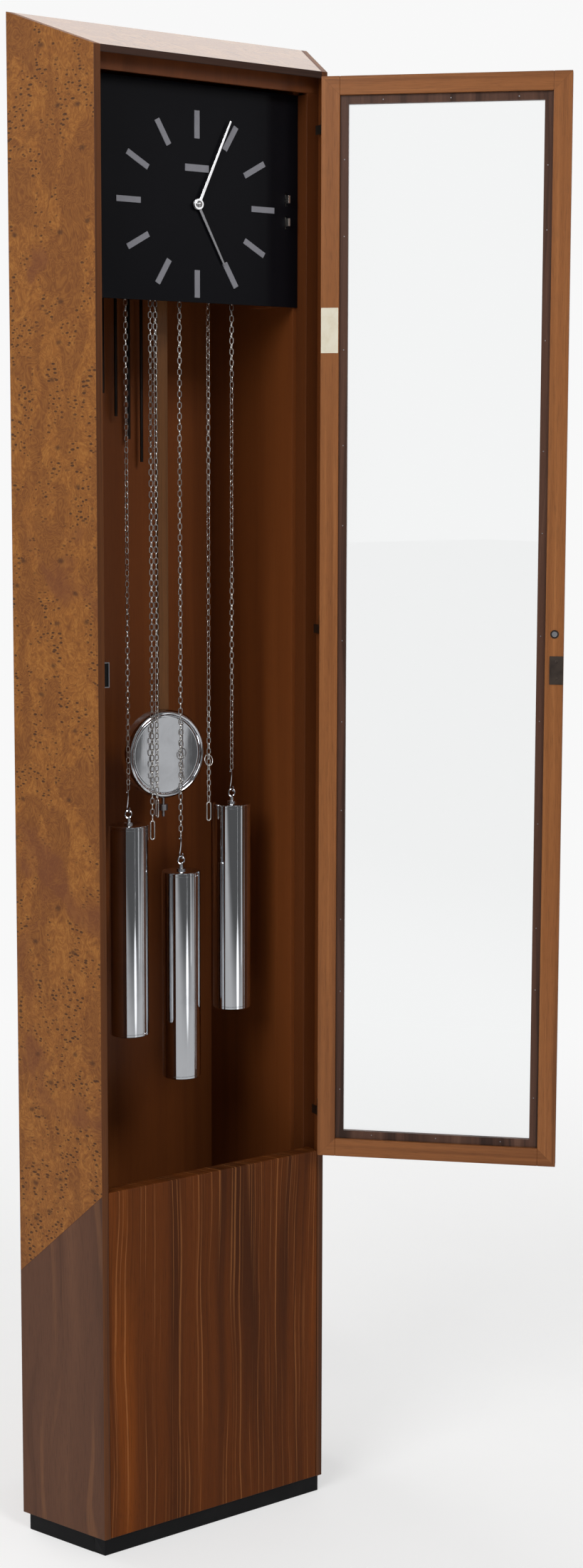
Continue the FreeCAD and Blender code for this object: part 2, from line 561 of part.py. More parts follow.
def lever(name, height):
    """Chime lever: a tab in front of the dial, a stem through its slot and a foot behind it."""
    tab = put(box(f"{name}_tab", "lever_width", "lever_tab_depth", "lever_tab_height"),
              "-lever_width / 2", "-lever_tab_depth - lever_clearance", "-lever_tab_height / 2")
    stem = put(box(f"{name}_stem", "lever_width", "dial_thickness + 2 * lever_clearance", "lever_stem_height"),
               "-lever_width / 2", "-lever_clearance", "-lever_stem_height / 2")
    foot = put(box(f"{name}_foot", "lever_foot_width", "lever_foot_thickness", "lever_foot_height"),
               "-lever_foot_width / 2", "dial_thickness + lever_clearance", "-lever_foot_height / 2")
    return keep(place(fuse(name, [tab, stem, foot]), "lever_offset", DIAL_FRONT, height), name)


lever("upper_chime_lever", UPPER_LEVER)
lever("lower_chime_lever", LOWER_LEVER)

# Movement: seat board on cleats, brass plates on pillars
carcass_inner = "carcass_width / 2 - carcass_board"
STRANDS = {
    "left": ("-chain_spacing", "-chain_spacing + 2 * chain_pitch_radius"),
    "centre": ("0", "-2 * chain_pitch_radius"),
    "right": ("chain_spacing", "chain_spacing - 2 * chain_pitch_radius"),
}
WHEEL_X = {word: f"(({loaded}) + ({free})) / 2" for word, (loaded, free) in STRANDS.items()}
seat = pad("seat_blank", "XY_Plane", rectangle(
    f"-({carcass_inner})", "-case_depth / 2 + seat_front", carcass_inner, "-case_depth / 2 + seat_back"),
    "seat_thickness")
bind(seat, "Placement.Base.z", "seat_height - seat_thickness")
seat_slots = []
for word, pair in STRANDS.items():
    left, right = sorted(pair, key=size)
    slot = place(box(f"chain_slot_{word}", f"({right}) - ({left}) + 2 * chain_width", "2 * chain_width",
                     "seat_thickness + 2 * overrun"), f"{left} - chain_width", "chain_setback - chain_width",
                 "seat_height - seat_thickness - overrun")
    seat_slots.append(slot)
keep(cut("seat_board", seat, fuse("chain_slots", seat_slots)), "seat_board")
keep(group("seat_cleats", [
    place(box(f"seat_cleat_{index}", "cleat_width", "seat_back - seat_front", "cleat_height"), x, "seat_front",
          "seat_height - seat_thickness - cleat_height")
    for index, x in enumerate((f"-({carcass_inner})", f"{carcass_inner} - cleat_width"))]), "seat_cleats")

MOTION_X = "(gear_module * {0} + gear_module * {1}) / 2".format(CANNON_TEETH, MINUTE_WHEEL_TEETH)
bearing = "pivot_radius + running_clearance"
plate_holes = [(WHEEL_X[word], "chain_wheel_height", bearing) for word in STRANDS]
plate_holes += [("0", "dial_centre_height", "centre_arbor_radius + running_clearance")]
REAR_PLATE = "front_plate_setback + brass_thickness + plate_spacing"
plate_outline = rectangle("-movement_width / 2", "seat_height", "movement_width / 2",
                          "seat_height + movement_height")
keep(group("movement_plates", [
    place(pad(name, "XZ_Plane", plate_outline, "brass_thickness", plate_holes), y=y)
    for name, y in (("front_plate", "front_plate_setback"), ("rear_plate", REAR_PLATE))]), "movement_plates")
pillars = []
for index, (x_sign, z) in enumerate((sign, z) for sign in "-+" for z in (
        "seat_height + pillar_inset", "seat_height + movement_height - pillar_inset")):
    pillar = cylinder(f"pillar_{index}", "pillar_radius", "plate_spacing")
    place(pillar, f"{x_sign}(movement_width / 2 - pillar_inset)", "front_plate_setback + brass_thickness", z)
    pillars.append(turn(pillar, (1, 0, 0), -90))
keep(group("movement_pillars", pillars), "movement_pillars")
stud = place(cylinder("motion_stud", "motion_stud_radius", "3 * gear_thickness + 3 * gear_gap"), MOTION_X,
             "front_plate_setback - 3 * gear_thickness - 3 * gear_gap", "dial_centre_height")
keep(turn(stud, (1, 0, 0), -90), "motion_stud")


def toothed(teeth, module, thickness, bore):
    """Gear wheel about Y, its front at y = 0, with teeth cut a little short of the pitch circle."""
    tip = module * teeth / 2 - size("gear_tip_clearance")
    root = tip - size("tooth_depth")
    step = 2 * math.pi / teeth
    points = []
    for index in range(teeth):
        for radius, share in ((root, -TOOTH_ROOT_SHARE), (tip, -TOOTH_TIP_SHARE), (tip, TOOTH_TIP_SHARE),
                              (root, TOOTH_ROOT_SHARE)):
            angle = (index + share) * step
            points.append(FreeCAD.Vector(radius * math.sin(angle), 0, radius * math.cos(angle)))
    face = Part.Face(Part.makePolygon([*points, points[0]]))
    hole = Part.makeCylinder(bore, thickness, FreeCAD.Vector(0, 0, 0), FreeCAD.Vector(0, 1, 0))
    return face.extrude(FreeCAD.Vector(0, thickness, 0)).cut(hole)


def tube(outer, inner, length, start):
    """Pipe along Y from a start; a bore of zero gives a rod."""
    axis = FreeCAD.Vector(0, 1, 0)
    rod = Part.makeCylinder(outer, length, FreeCAD.Vector(0, start, 0), axis)
    return rod.cut(Part.makeCylinder(inner, length, FreeCAD.Vector(0, start, 0), axis)) if inner else rod


def feature(name, shape, x, y, z):
    item = doc.addObject("Part::Feature", name)
    item.Shape = shape.removeSplitter()
    return keep(place(item, x, y, z), name)


gear = size("gear_thickness")
gap = size("gear_gap")
module = size("gear_module")
second_module = size(MOTION_X) * 2 / (MINUTE_PINION_TEETH + HOUR_WHEEL_TEETH)
arbor = size("centre_arbor_radius")
stud_bore = size("motion_stud_radius + running_clearance")
# The first gear pair runs next to the plate, the second pair in front of it
FIRST_PAIR = "front_plate_setback - gear_thickness - gear_gap"
SECOND_PAIR = "front_plate_setback - 2 * gear_thickness - 2 * gear_gap"
reach = size(f"{REAR_PLATE} + brass_thickness") - size(MINUTE_FRONT) + size("hand_gap")
front_end = size(MINUTE_FRONT) - size(FIRST_PAIR) - size("hand_gap")
feature("centre_arbor", toothed(CANNON_TEETH, module, gear, arbor).fuse(tube(arbor, 0, reach, front_end)),
        "0", FIRST_PAIR, "dial_centre_height")
pinion = toothed(MINUTE_PINION_TEETH, second_module, gear, stud_bore)
pinion.translate(FreeCAD.Vector(0, -gear - gap, 0))
collar = tube(size("pivot_radius") + stud_bore, stud_bore, gap, -gap)
feature("minute_wheel", toothed(MINUTE_WHEEL_TEETH, module, gear, stud_bore).fuse([pinion, collar]), MOTION_X,
        FIRST_PAIR, "dial_centre_height")
pipe_start = size(HOUR_FRONT) - size(SECOND_PAIR)
pipe = tube(size(PIPE_RADIUS), size(PIPE_BORE), gear - pipe_start, pipe_start)
feature("hour_wheel", toothed(HOUR_WHEEL_TEETH, second_module, gear, size(PIPE_RADIUS)).fuse(pipe), "0",
        SECOND_PAIR, "dial_centre_height")

# Chain wheels, chains, weights and the links on the chains' free ends
DRUM = "chain_pitch_radius - chain_width / 2 - chain_side_gap"
FLANGE = "chain_pitch_radius + chain_wheel_rim"
groove_half = "chain_width / 2 + chain_side_gap"
ARBOR_FRONT = "front_plate_setback + brass_thickness + running_clearance"
ARBOR_REAR = f"{REAR_PLATE} - running_clearance"


def chain_wheel(word):
    """Grooved wheel on its arbor, turned about Y with its groove on the chain's plane."""
    front, rear = f"{ARBOR_FRONT} - chain_setback", f"{ARBOR_REAR} - chain_setback"
    edge = f"{groove_half} + chain_wheel_flange"
    section = [
        ("0", f"{front} - brass_thickness"), ("pivot_radius", f"{front} - brass_thickness"),
        ("pivot_radius", front), ("arbor_radius", front), ("arbor_radius", f"-({edge})"), (FLANGE, f"-({edge})"),
        (FLANGE, f"-({groove_half})"), (DRUM, f"-({groove_half})"), (DRUM, groove_half), (FLANGE, groove_half),
        (FLANGE, edge), ("arbor_radius", edge), ("arbor_radius", rear), ("pivot_radius", rear),
        ("pivot_radius", f"{rear} + brass_thickness"), ("0", f"{rear} + brass_thickness")]
    wheel = place(spin(f"chain_wheel_{word}", section), WHEEL_X[word], "chain_setback", "chain_wheel_height")
    keep(turn(wheel, (1, 0, 0), -90), f"chain_wheel_{word}")


EYE_RISE = "weight_stem_length + weight_eye_radius"


def weight(word):
    """Weight: a shell with a stepped cap at each end, a stem, an eye and the hook up to its chain."""
    shell = spin(f"weight_{word}_shell", [
        ("0", "0"), ("weight_radius - weight_cap_rim", "0"), ("weight_radius", "weight_cap_rim"),
        ("weight_radius", "weight_length - weight_cap_rim"), ("weight_radius - weight_cap_rim", "weight_length"),
        ("weight_stem_radius", "weight_length"), ("weight_stem_radius", "weight_length + weight_stem_length"),
        ("0", "weight_length + weight_stem_length")])
    eye = doc.addObject("Part::Torus", f"weight_{word}_eye")
    bind(eye, "Radius1", "weight_eye_radius")
    bind(eye, "Radius2", "weight_eye_wire")
    put(turn(eye, (1, 0, 0), 90), "0", "0", f"weight_length + {EYE_RISE}")
    hook = put(cylinder(f"weight_{word}_hook", "weight_eye_wire", "weight_hook_length"), "0", "0",
               f"weight_length + {EYE_RISE} + weight_eye_radius")
    low = f"{word}_weight_bottom"
    piece = place(fuse(f"weight_{word}", [shell, eye, hook]), STRANDS[word][0], "chain_setback", low)
    return keep(piece, f"weight_{word}")


HOOK_TOP = f"weight_length + {EYE_RISE} + weight_eye_radius + weight_hook_length"


def strand(name, x, low):
    piece = cylinder(name, "chain_width / 2", f"chain_wheel_height - ({low})")
    keep(place(piece, x, "chain_setback", low), name)


# The middle link hangs edge on, so that the chain beside it can pass
LINK_TURN = {"left": 0, "centre": 90, "right": 0}


def end_link(word):
    """Oblong link that closes a chain's free end."""
    blank = put(box(f"end_link_{word}_blank", "end_link_width", "end_link_wire", "end_link_length"),
                "-end_link_width / 2", "-end_link_wire / 2", "0")
    window = put(box(f"end_link_{word}_window", "end_link_width - 2 * end_link_wire", "end_link_wire + 2 * overrun",
                     "end_link_length - 2 * end_link_wire"), "-end_link_width / 2 + end_link_wire",
                 "-end_link_wire / 2 - overrun", "end_link_wire")
    link = place(cut(f"end_link_{word}", blank, window), STRANDS[word][1], "chain_setback", f"{word}_end_bottom")
    keep(turn(link, (0, 0, 1), LINK_TURN[word]), f"end_link_{word}")


for word, (loaded, free) in STRANDS.items():
    chain_wheel(word)
    weight(word)
    strand(f"weight_chain_{word}", loaded, f"{word}_weight_bottom + {HOOK_TOP}")
    strand(f"free_chain_{word}", free, f"{word}_end_bottom + end_link_length")
    end_link(word)

# Pendulum, crutch, suspension cock
PIVOT = "pendulum_pivot_height"
ROD_TOP = f"{PIVOT} - suspension_length"
rod = place(box("pendulum_lath", "pendulum_rod_width", "pendulum_rod_thickness",
                f"{ROD_TOP} - bob_height - bob_radius"), "-pendulum_rod_width / 2",
            "pendulum_setback - pendulum_rod_thickness / 2", "bob_height + bob_radius")
keep(rod, "pendulum_rod")
bob_half = "bob_thickness / 2"
bob = spin("pendulum_bob", [
    ("0", f"-({bob_half}) + bob_dish"), ("bob_radius / 2", f"-({bob_half})"),
    ("bob_radius - bob_rim", f"-({bob_half}) / 2"), ("bob_radius", f"-({bob_half}) / 4"),
    ("bob_radius", f"({bob_half}) / 4"), ("bob_radius - bob_rim", f"({bob_half}) / 2"), ("0", bob_half)])
keep(turn(place(bob, y="pendulum_setback", z="bob_height"), (1, 0, 0), -90), "pendulum_bob")
nut = spin("rating_nut", [
    ("0", "0"), ("rating_screw_radius", "0"), ("rating_screw_radius", "rating_screw_length / 3"),
    ("rating_nut_radius", "rating_screw_length / 3"),
    ("rating_nut_radius", "rating_screw_length / 3 + rating_nut_height"),
    ("rating_screw_radius", "rating_screw_length / 3 + rating_nut_height"),
    ("rating_screw_radius", "rating_screw_length"), ("0", "rating_screw_length")])
keep(place(nut, y="pendulum_setback", z="bob_height - bob_radius - rating_screw_length"), "rating_nut")
keep(place(box("suspension_spring", "suspension_width", "suspension_thickness",
               "suspension_length - suspension_gap"),
           "-suspension_width / 2", "pendulum_setback - suspension_thickness / 2", ROD_TOP), "suspension_spring")
keep(place(box("suspension_cock", "cock_width",
               f"pendulum_setback - ({REAR_PLATE}) - brass_thickness + pendulum_rod_thickness", "cock_height"),
           "-cock_width / 2", f"{REAR_PLATE} + brass_thickness", PIVOT), "suspension_cock")

# Chime rods on their block, with the hammers in front of them
ROD_SETBACK = f"{CARCASS_REAR} - chime_block_depth / 2"
keep(place(box("chime_block", "chime_block_width", "chime_block_depth", "chime_block_height"),
           "-chime_block_width / 2", f"{CARCASS_REAR} - chime_block_depth", "chime_block_bottom"), "chime_block")


def rod_x(index):
    return f"chime_rod_pitch * ({index} - {(CHIME_ROD_COUNT - 1) / 2})"


keep(group("chime_rods", [
    place(cylinder(f"chime_rod_{index}", "chime_rod_radius",
                   f"chime_block_bottom - chime_rod_bottom - {step} * chime_rod_step"), rod_x(index), ROD_SETBACK,
          f"chime_rod_bottom + {step} * chime_rod_step")
    for index, step in enumerate(reversed(range(CHIME_ROD_COUNT)))]), "chime_rods")

# Check every object, then write one file for each piece
doc.recompute()
failed = [item.Label for item in doc.Objects if {"Invalid", "Error"} & set(item.State)]
failed += [item.Label for item in nodes if item.Shape.isNull() or not item.Shape.isValid()]
if failed:
    raise SystemExit(f"failed objects: {failed}")
os.makedirs("parts", exist_ok=True)
for item in nodes:
    item.Shape.exportStep(f"parts/{item.Label}.step")
print(len(nodes), "pieces written")
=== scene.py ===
"""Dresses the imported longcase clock: veneers, door, dial, chains, weights, pendulum and a plain studio."""

from __future__ import annotations

import json
import logging
import math
from dataclasses import dataclass
from enum import Enum
from typing import Callable, Iterable, Sequence

import bmesh
import bpy
from mathutils import Matrix, Vector

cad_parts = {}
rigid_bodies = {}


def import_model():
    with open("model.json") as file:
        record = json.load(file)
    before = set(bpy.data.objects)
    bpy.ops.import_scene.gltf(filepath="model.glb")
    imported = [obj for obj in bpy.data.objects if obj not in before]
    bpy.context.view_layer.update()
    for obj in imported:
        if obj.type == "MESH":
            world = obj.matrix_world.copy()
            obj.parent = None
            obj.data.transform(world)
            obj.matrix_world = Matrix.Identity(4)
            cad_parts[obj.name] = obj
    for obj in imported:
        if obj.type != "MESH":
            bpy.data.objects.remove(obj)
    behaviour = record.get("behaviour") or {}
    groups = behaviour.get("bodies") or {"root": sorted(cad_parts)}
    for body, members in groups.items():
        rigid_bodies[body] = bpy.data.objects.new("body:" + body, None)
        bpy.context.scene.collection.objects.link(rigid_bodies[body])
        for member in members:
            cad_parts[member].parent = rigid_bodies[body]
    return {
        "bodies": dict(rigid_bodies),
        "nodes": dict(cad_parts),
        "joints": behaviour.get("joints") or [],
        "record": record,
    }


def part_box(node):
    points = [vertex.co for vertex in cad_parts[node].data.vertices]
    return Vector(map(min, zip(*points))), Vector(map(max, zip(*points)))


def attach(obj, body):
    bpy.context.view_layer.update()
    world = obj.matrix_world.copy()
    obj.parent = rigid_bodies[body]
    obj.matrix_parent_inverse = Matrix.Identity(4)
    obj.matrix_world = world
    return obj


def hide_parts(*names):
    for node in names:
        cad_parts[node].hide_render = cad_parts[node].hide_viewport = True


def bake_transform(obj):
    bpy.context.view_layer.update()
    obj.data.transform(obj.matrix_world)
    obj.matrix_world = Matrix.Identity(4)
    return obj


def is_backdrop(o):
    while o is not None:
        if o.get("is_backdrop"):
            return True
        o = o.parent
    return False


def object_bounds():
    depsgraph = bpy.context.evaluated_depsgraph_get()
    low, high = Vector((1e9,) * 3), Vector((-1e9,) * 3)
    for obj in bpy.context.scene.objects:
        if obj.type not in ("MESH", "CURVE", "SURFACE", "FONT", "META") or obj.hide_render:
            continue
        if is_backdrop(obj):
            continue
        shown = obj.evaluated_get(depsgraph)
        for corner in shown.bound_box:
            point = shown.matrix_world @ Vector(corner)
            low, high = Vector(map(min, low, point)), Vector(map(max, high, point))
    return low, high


log = logging.getLogger("longcase_clock")

Colour = tuple[float, float, float]
Point = tuple[float, float, float]
Socket = bpy.types.NodeSocket

FRONT_Y = -0.132
SLANT = 54.0 / 130.0
FRONT_SKIN = 0.0006
WOOD_SPECULAR = 0.16
COAT_ROUGHNESS = 0.22
GRAIN_RELIEF = 0.0004
MARK_RELIEF = 0.0002
HALF = (0.5, 0.5, 0.5)
WHITE = (1.0, 1.0, 1.0)
UP = Vector((0.0, 0.0, 1.0))


def srgb(red: int, green: int, blue: int) -> Colour:
    """Linear colour from the 0 to 255 values of a screen colour.

    Args:
        red: red value.
        green: green value.
        blue: blue value.

    Returns:
        The linear colour.
    """
    def linear(value: int) -> float:
        """Linear share of one screen value."""
        share = value / 255.0
        return share / 12.92 if share <= 0.04045 else ((share + 0.055) / 1.055) ** 2.4
    return linear(red), linear(green), linear(blue)


THREAD_TONE = srgb(206, 140, 84)
PORE_TONE = (0.004, 0.002, 0.001)
SEAM_TONE = srgb(60, 30, 16)


class Grain(Enum):
    """Direction in which a wood's grain runs, as the turn that brings it to Z."""

    UPRIGHT = (0.0, 0.0, 0.0)
    ACROSS = (0.0, math.pi / 2, 0.0)


class Wiring:
    """Adds and joins nodes in one shader tree."""

    def __init__(self, tree: bpy.types.NodeTree) -> None:
        """Keeps the tree that the nodes go into."""
        self.tree = tree

    def node(self, kind: str, **inputs: object) -> bpy.types.Node:
        """Adds a node and fills its inputs.

        Args:
            kind: Blender's name of the node type.
            inputs: values or sockets, by input name with spaces as underscores.

        Returns:
            The new node.
        """
        made = self.tree.nodes.new(kind)
        self.set(made, **inputs)
        return made

    def set(self, node: bpy.types.Node, **inputs: object) -> None:
        """Fills a node's inputs, by input name with spaces as underscores."""
        for name, value in inputs.items():
            self.fill(node.inputs[name.replace("_", " ")], value)

    def fill(self, target: Socket, value: object) -> None:
        """Joins a socket to an input, or sets the input's own value.

        Args:
            target: the input.
            value: a socket, a number or a row of numbers.
        """
        if isinstance(value, bpy.types.NodeSocket):
            self.tree.links.new(value, target)
        elif target.type == "RGBA" and len(value) == 3:
            target.default_value = (*value, 1.0)
        else:
            target.default_value = value

    def math(self, operation: str, *values: object) -> Socket:
        """Result of a Math node over one to three values.

        Args:
            operation: Blender's name of the operation.
            values: numbers or sockets, in order.

        Returns:
            The result's socket.
        """
        made = self.tree.nodes.new("ShaderNodeMath")
        made.operation = operation
        for target, value in zip(made.inputs, values):
            self.fill(target, value)
        return made.outputs[0]

    def times(self, first: object, second: object) -> Socket:
        """Product of two values."""
        return self.math("MULTIPLY", first, second)

    def rest(self, value: object) -> Socket:
        """What a value lacks of 1."""
        return self.math("SUBTRACT", 1.0, value)

    def vector(self, operation: str, *values: object) -> Socket:
        """Result of a Vector Math node over one or two vectors.

        Args:
            operation: Blender's name of the operation.
            values: vectors or sockets, in order.

        Returns:
            The result's socket.
        """
        made = self.tree.nodes.new("ShaderNodeVectorMath")
        made.operation = operation
        for target, value in zip(made.inputs, values):
            self.fill(target, value)
        return made.outputs[0]

    def mix(self, factor: object, first: object, second: object) -> Socket:
        """Colour between two colours.

        Args:
            factor: share of the second colour.
            first: colour at 0.
            second: colour at 1.

        Returns:
            The mixed colour's socket.
        """
        made = self.tree.nodes.new("ShaderNodeMix")
        made.data_type = "RGBA"
        self.fill(made.inputs[0], factor)
        self.fill(made.inputs[6], first)
        self.fill(made.inputs[7], second)
        return made.outputs[2]

    def step(self, value: object, low: float, high: float) -> Socket:
        """Smooth rise from 0 at low to 1 at high.

        Args:
            value: the value that rises.
            low: where the rise starts.
            high: where it ends.

        Returns:
            The risen value's socket.
        """
        made = self.node("ShaderNodeMapRange", Value=value, From_Min=low, From_Max=high)
        made.interpolation_type = "SMOOTHSTEP"
        return made.outputs[0]

    def noise(self, vector: Socket, detail: float, roughness: float, distortion: float = 0.0) -> Socket:
        """Noise value at a vector that is already scaled.

        Args:
            vector: the scaled place.
            detail: number of finer layers.
            roughness: strength of the finer layers.
            distortion: how far the noise bends itself.

        Returns:
            The noise value's socket, from 0 to 1.
        """
        made = self.node("ShaderNodeTexNoise", Vector=vector, Scale=1.0, Detail=detail,
                         Roughness=roughness, Distortion=distortion)
        return made.outputs["Fac"]

    def drift(self, vector: Socket, detail: float) -> Socket:
        """Noise that moves a place about, from -0.5 to 0.5 along each axis."""
        made = self.node("ShaderNodeTexNoise", Vector=vector, Scale=1.0, Detail=detail)
        return self.vector("SUBTRACT", made.outputs["Color"], HALF)

    def scaled(self, vector: Socket, factors: Point) -> Socket:
        """Vector times three factors."""
        return self.vector("MULTIPLY", vector, factors)

    def grown(self, vector: Socket, factor: Socket) -> Socket:
        """Vector times one factor.

        Args:
            vector: the vector.
            factor: the factor's socket.

        Returns:
            The product's socket.
        """
        made = self.tree.nodes.new("ShaderNodeVectorMath")
        made.operation = "SCALE"
        self.fill(made.inputs[0], vector)
        self.fill(made.inputs["Scale"], factor)
        return made.outputs[0]

    def axes(self, vector: Socket) -> tuple[Socket, Socket, Socket]:
        """The three parts of a vector."""
        parts = self.node("ShaderNodeSeparateXYZ", Vector=vector).outputs
        return parts[0], parts[1], parts[2]


class Effects:
    """Shader node groups that several finishes share."""

    @staticmethod
    def open(name: str, inputs: Sequence[tuple[str, str, object]],
             outputs: Sequence[tuple[str, str]]) -> Wiring:
        """Starts a group with named sockets.

        Args:
            name: the group's name.
            inputs: name, socket type and default of each input.
            outputs: name and socket type of each output.

        Returns:
            Wiring in the new group, with its two ends placed.
        """
        tree = bpy.data.node_groups.new(name, "ShaderNodeTree")
        for label, kind, default in inputs:
            made = tree.interface.new_socket(label, in_out="INPUT", socket_type=kind)
            if default is not None:
                made.default_value = default
        for label, kind in outputs:
            tree.interface.new_socket(label, in_out="OUTPUT", socket_type=kind)
        tree.nodes.new("NodeGroupInput").name = "ends_in"
        tree.nodes.new("NodeGroupOutput").name = "ends_out"
        return Wiring(tree)

    @staticmethod
    def place(wire: Wiring, build: Callable[[str], None], **inputs: object) -> bpy.types.Node:
        """Places a group in a tree; the group itself is built at its first use.

        Args:
            wire: wiring in the tree that gets the group.
            build: the method that builds the group, which bears the method's name.
            inputs: values or sockets, by input name.

        Returns:
            The group's node.
        """
        name = build.__name__
        if name not in bpy.data.node_groups:
            build(name)
        made = wire.node("ShaderNodeGroup")
        made.node_tree = bpy.data.node_groups[name]
        wire.set(made, **inputs)
        return made

    @staticmethod
    def straight_grain(name: str) -> None:
        """Wood grain along Z: broad bands, thin dark lines, thin pale threads and fine pores.

        Args:
            name: the group's name.
        """
        wire = Effects.open(name, [
            ("Vector", "NodeSocketVector", None), ("Bands", "NodeSocketFloat", 60.0),
            ("Fine", "NodeSocketFloat", 216.0), ("Waviness", "NodeSocketFloat", 0.004),
            ("Lines", "NodeSocketFloat", 0.3), ("Threads", "NodeSocketFloat", 0.0),
            ("Pores", "NodeSocketFloat", 0.3), ("Dark", "NodeSocketColor", None),
            ("Mid", "NodeSocketColor", None), ("Light", "NodeSocketColor", None)],
            [("Color", "NodeSocketColor"), ("Height", "NodeSocketFloat"), ("Gloss", "NodeSocketFloat")])
        given = wire.tree.nodes["ends_in"].outputs
        sway = wire.drift(wire.scaled(given["Vector"], (7.0, 7.0, 2.6)), 2.0)
        bend = wire.grown(wire.scaled(sway, (1.0, 1.0, 0.0)), given["Waviness"])
        at = wire.vector("ADD", given["Vector"], bend)
        x, y, z = wire.axes(at)
        across = wire.math("ADD", x, wire.times(y, 0.63))
        broad = wire.times(across, given["Bands"])
        thin = wire.times(across, given["Fine"])
        band_at = wire.node("ShaderNodeCombineXYZ", X=broad, Z=wire.times(z, 0.55)).outputs[0]
        bands = wire.noise(band_at, 3.0, 0.62)
        line_at = wire.node("ShaderNodeCombineXYZ", X=thin, Z=wire.times(z, 1.1)).outputs[0]
        lines = wire.step(wire.noise(line_at, 2.0, 0.5), 0.56, 0.70)
        thread_at = wire.node("ShaderNodeCombineXYZ", X=thin, Y=7.3, Z=wire.times(z, 2.3)).outputs[0]
        threads = wire.step(wire.noise(thread_at, 1.0, 0.5), 0.58, 0.74)
        pores = wire.noise(wire.scaled(at, (1500.0, 1500.0, 34.0)), 3.0, 0.6)
        colour = wire.mix(wire.step(bands, 0.34, 0.52), given["Dark"], given["Mid"])
        colour = wire.mix(wire.step(bands, 0.54, 0.72), colour, given["Light"])
        colour = wire.mix(wire.times(lines, given["Lines"]), colour, given["Dark"])
        thread = wire.mix(0.45, given["Light"], THREAD_TONE)
        colour = wire.mix(wire.times(threads, given["Threads"]), colour, thread)
        speck = wire.times(wire.step(pores, 0.50, 0.68), given["Pores"])
        colour = wire.mix(speck, colour, wire.mix(0.55, given["Dark"], PORE_TONE))
        ends = wire.tree.nodes["ends_out"].inputs
        wire.fill(ends["Color"], colour)
        wire.fill(ends["Height"], wire.math("SUBTRACT", wire.times(bands, 0.3), speck))
        gloss = wire.math("ADD", wire.times(speck, 0.4), wire.times(lines, 0.2))
        wire.fill(ends["Gloss"], gloss)

    @staticmethod
    def burl(name: str) -> None:
        """Burl figure: flames, swirl lines, reddish clouds, fine fibres, small dark eyes and a few knots.

        Args:
            name: the group's name.
        """
        wire = Effects.open(name, [
            ("Vector", "NodeSocketVector", None), ("Swirl", "NodeSocketFloat", 17.0),
            ("Eyes", "NodeSocketFloat", 0.78), ("Base", "NodeSocketColor", None),
            ("Shade", "NodeSocketColor", None), ("Light", "NodeSocketColor", None),
            ("Rosy", "NodeSocketColor", None), ("Eye", "NodeSocketColor", None)],
            [("Color", "NodeSocketColor"), ("Height", "NodeSocketFloat"), ("Gloss", "NodeSocketFloat")])
        given = wire.tree.nodes["ends_in"].outputs
        warp = wire.drift(wire.scaled(given["Vector"], (11.0, 11.0, 11.0)), 3.0)
        at = wire.vector("ADD", given["Vector"], wire.scaled(warp, (0.05, 0.05, 0.05)))
        grown = wire.grown(at, given["Swirl"])
        flame = wire.step(wire.noise(wire.scaled(grown, (1.0, 1.0, 0.45)), 2.0, 0.45, 1.1), 0.50, 0.57)
        curls = wire.noise(wire.scaled(grown, (4.0, 4.0, 3.2)), 5.0, 0.62, 2.6)
        fibres = wire.noise(wire.scaled(at, (240.0, 240.0, 150.0)), 4.0, 0.66, 2.0)
        open_wood = wire.rest(flame)
        drift = wire.noise(wire.scaled(at, (6.5, 6.5, 4.6)), 3.0, 0.55, 0.8)
        clouds = wire.step(drift, 0.59, 0.68)
        clear = wire.rest(clouds)
        strength = wire.math("ADD", 0.22, wire.times(open_wood, 0.58))
        pale = wire.times(wire.step(curls, 0.47, 0.62), strength)
        colour = wire.mix(wire.times(flame, 0.62), given["Base"], given["Shade"])
        colour = wire.mix(pale, colour, given["Light"])
        colour = wire.mix(wire.times(wire.step(curls, 0.46, 0.34), 0.55), colour, given["Shade"])
        colour = wire.mix(wire.times(wire.step(fibres, 0.50, 0.70), 0.40), colour, given["Shade"])
        growth = wire.noise(wire.scaled(grown, (1.7, 1.7, 1.3)), 2.0, 0.55, 1.4)
        contour = wire.math("ABSOLUTE", wire.math("SINE", wire.times(growth, 44.0)))
        swirls = wire.rest(wire.step(contour, 0.10, 0.50))
        colour = wire.mix(wire.times(swirls, 0.42), colour, given["Shade"])
        colour = wire.mix(wire.times(wire.step(contour, 0.80, 1.0), 0.30), colour, given["Light"])
        colour = wire.mix(wire.times(clouds, 0.66), colour, given["Rosy"])
        eased = wire.vector("ADD", wire.scaled(given["Vector"], (0.8, 0.8, 0.8)),
                            wire.scaled(at, (0.2, 0.2, 0.2)))
        x, y, z = wire.axes(eased)
        aside = wire.math("ADD", y, wire.times(x, 0.9))
        flat = wire.node("ShaderNodeCombineXYZ", X=aside, Y=z).outputs[0]
        cells = wire.node("ShaderNodeTexVoronoi", Vector=wire.scaled(flat, (170.0, 185.0, 0.0)), Scale=1.0)
        cells.voronoi_dimensions = "2D"
        chosen = wire.step(wire.axes(cells.outputs["Color"])[0], 0.18, 0.24)
        patch = wire.step(wire.noise(wire.scaled(given["Vector"], (34.0, 34.0, 26.0)), 2.0, 0.5), 0.44, 0.52)
        cluster = wire.times(patch, wire.times(open_wood, clear))
        inner_edge = wire.step(cells.outputs["Distance"], 0.22, 0.34)
        ring = wire.math("SUBTRACT", inner_edge, wire.step(cells.outputs["Distance"], 0.36, 0.50))
        ring = wire.times(wire.times(ring, chosen), wire.times(cluster, 0.45))
        colour = wire.mix(ring, colour, given["Light"])
        spread = wire.math("ADD", cells.outputs["Distance"], wire.times(fibres, 0.16))
        size = wire.times(wire.axes(cells.outputs["Color"])[2], 0.16)
        pin = wire.rest(wire.step(wire.math("SUBTRACT", spread, size), 0.12, 0.32))
        pin = wire.times(wire.times(pin, chosen), cluster)
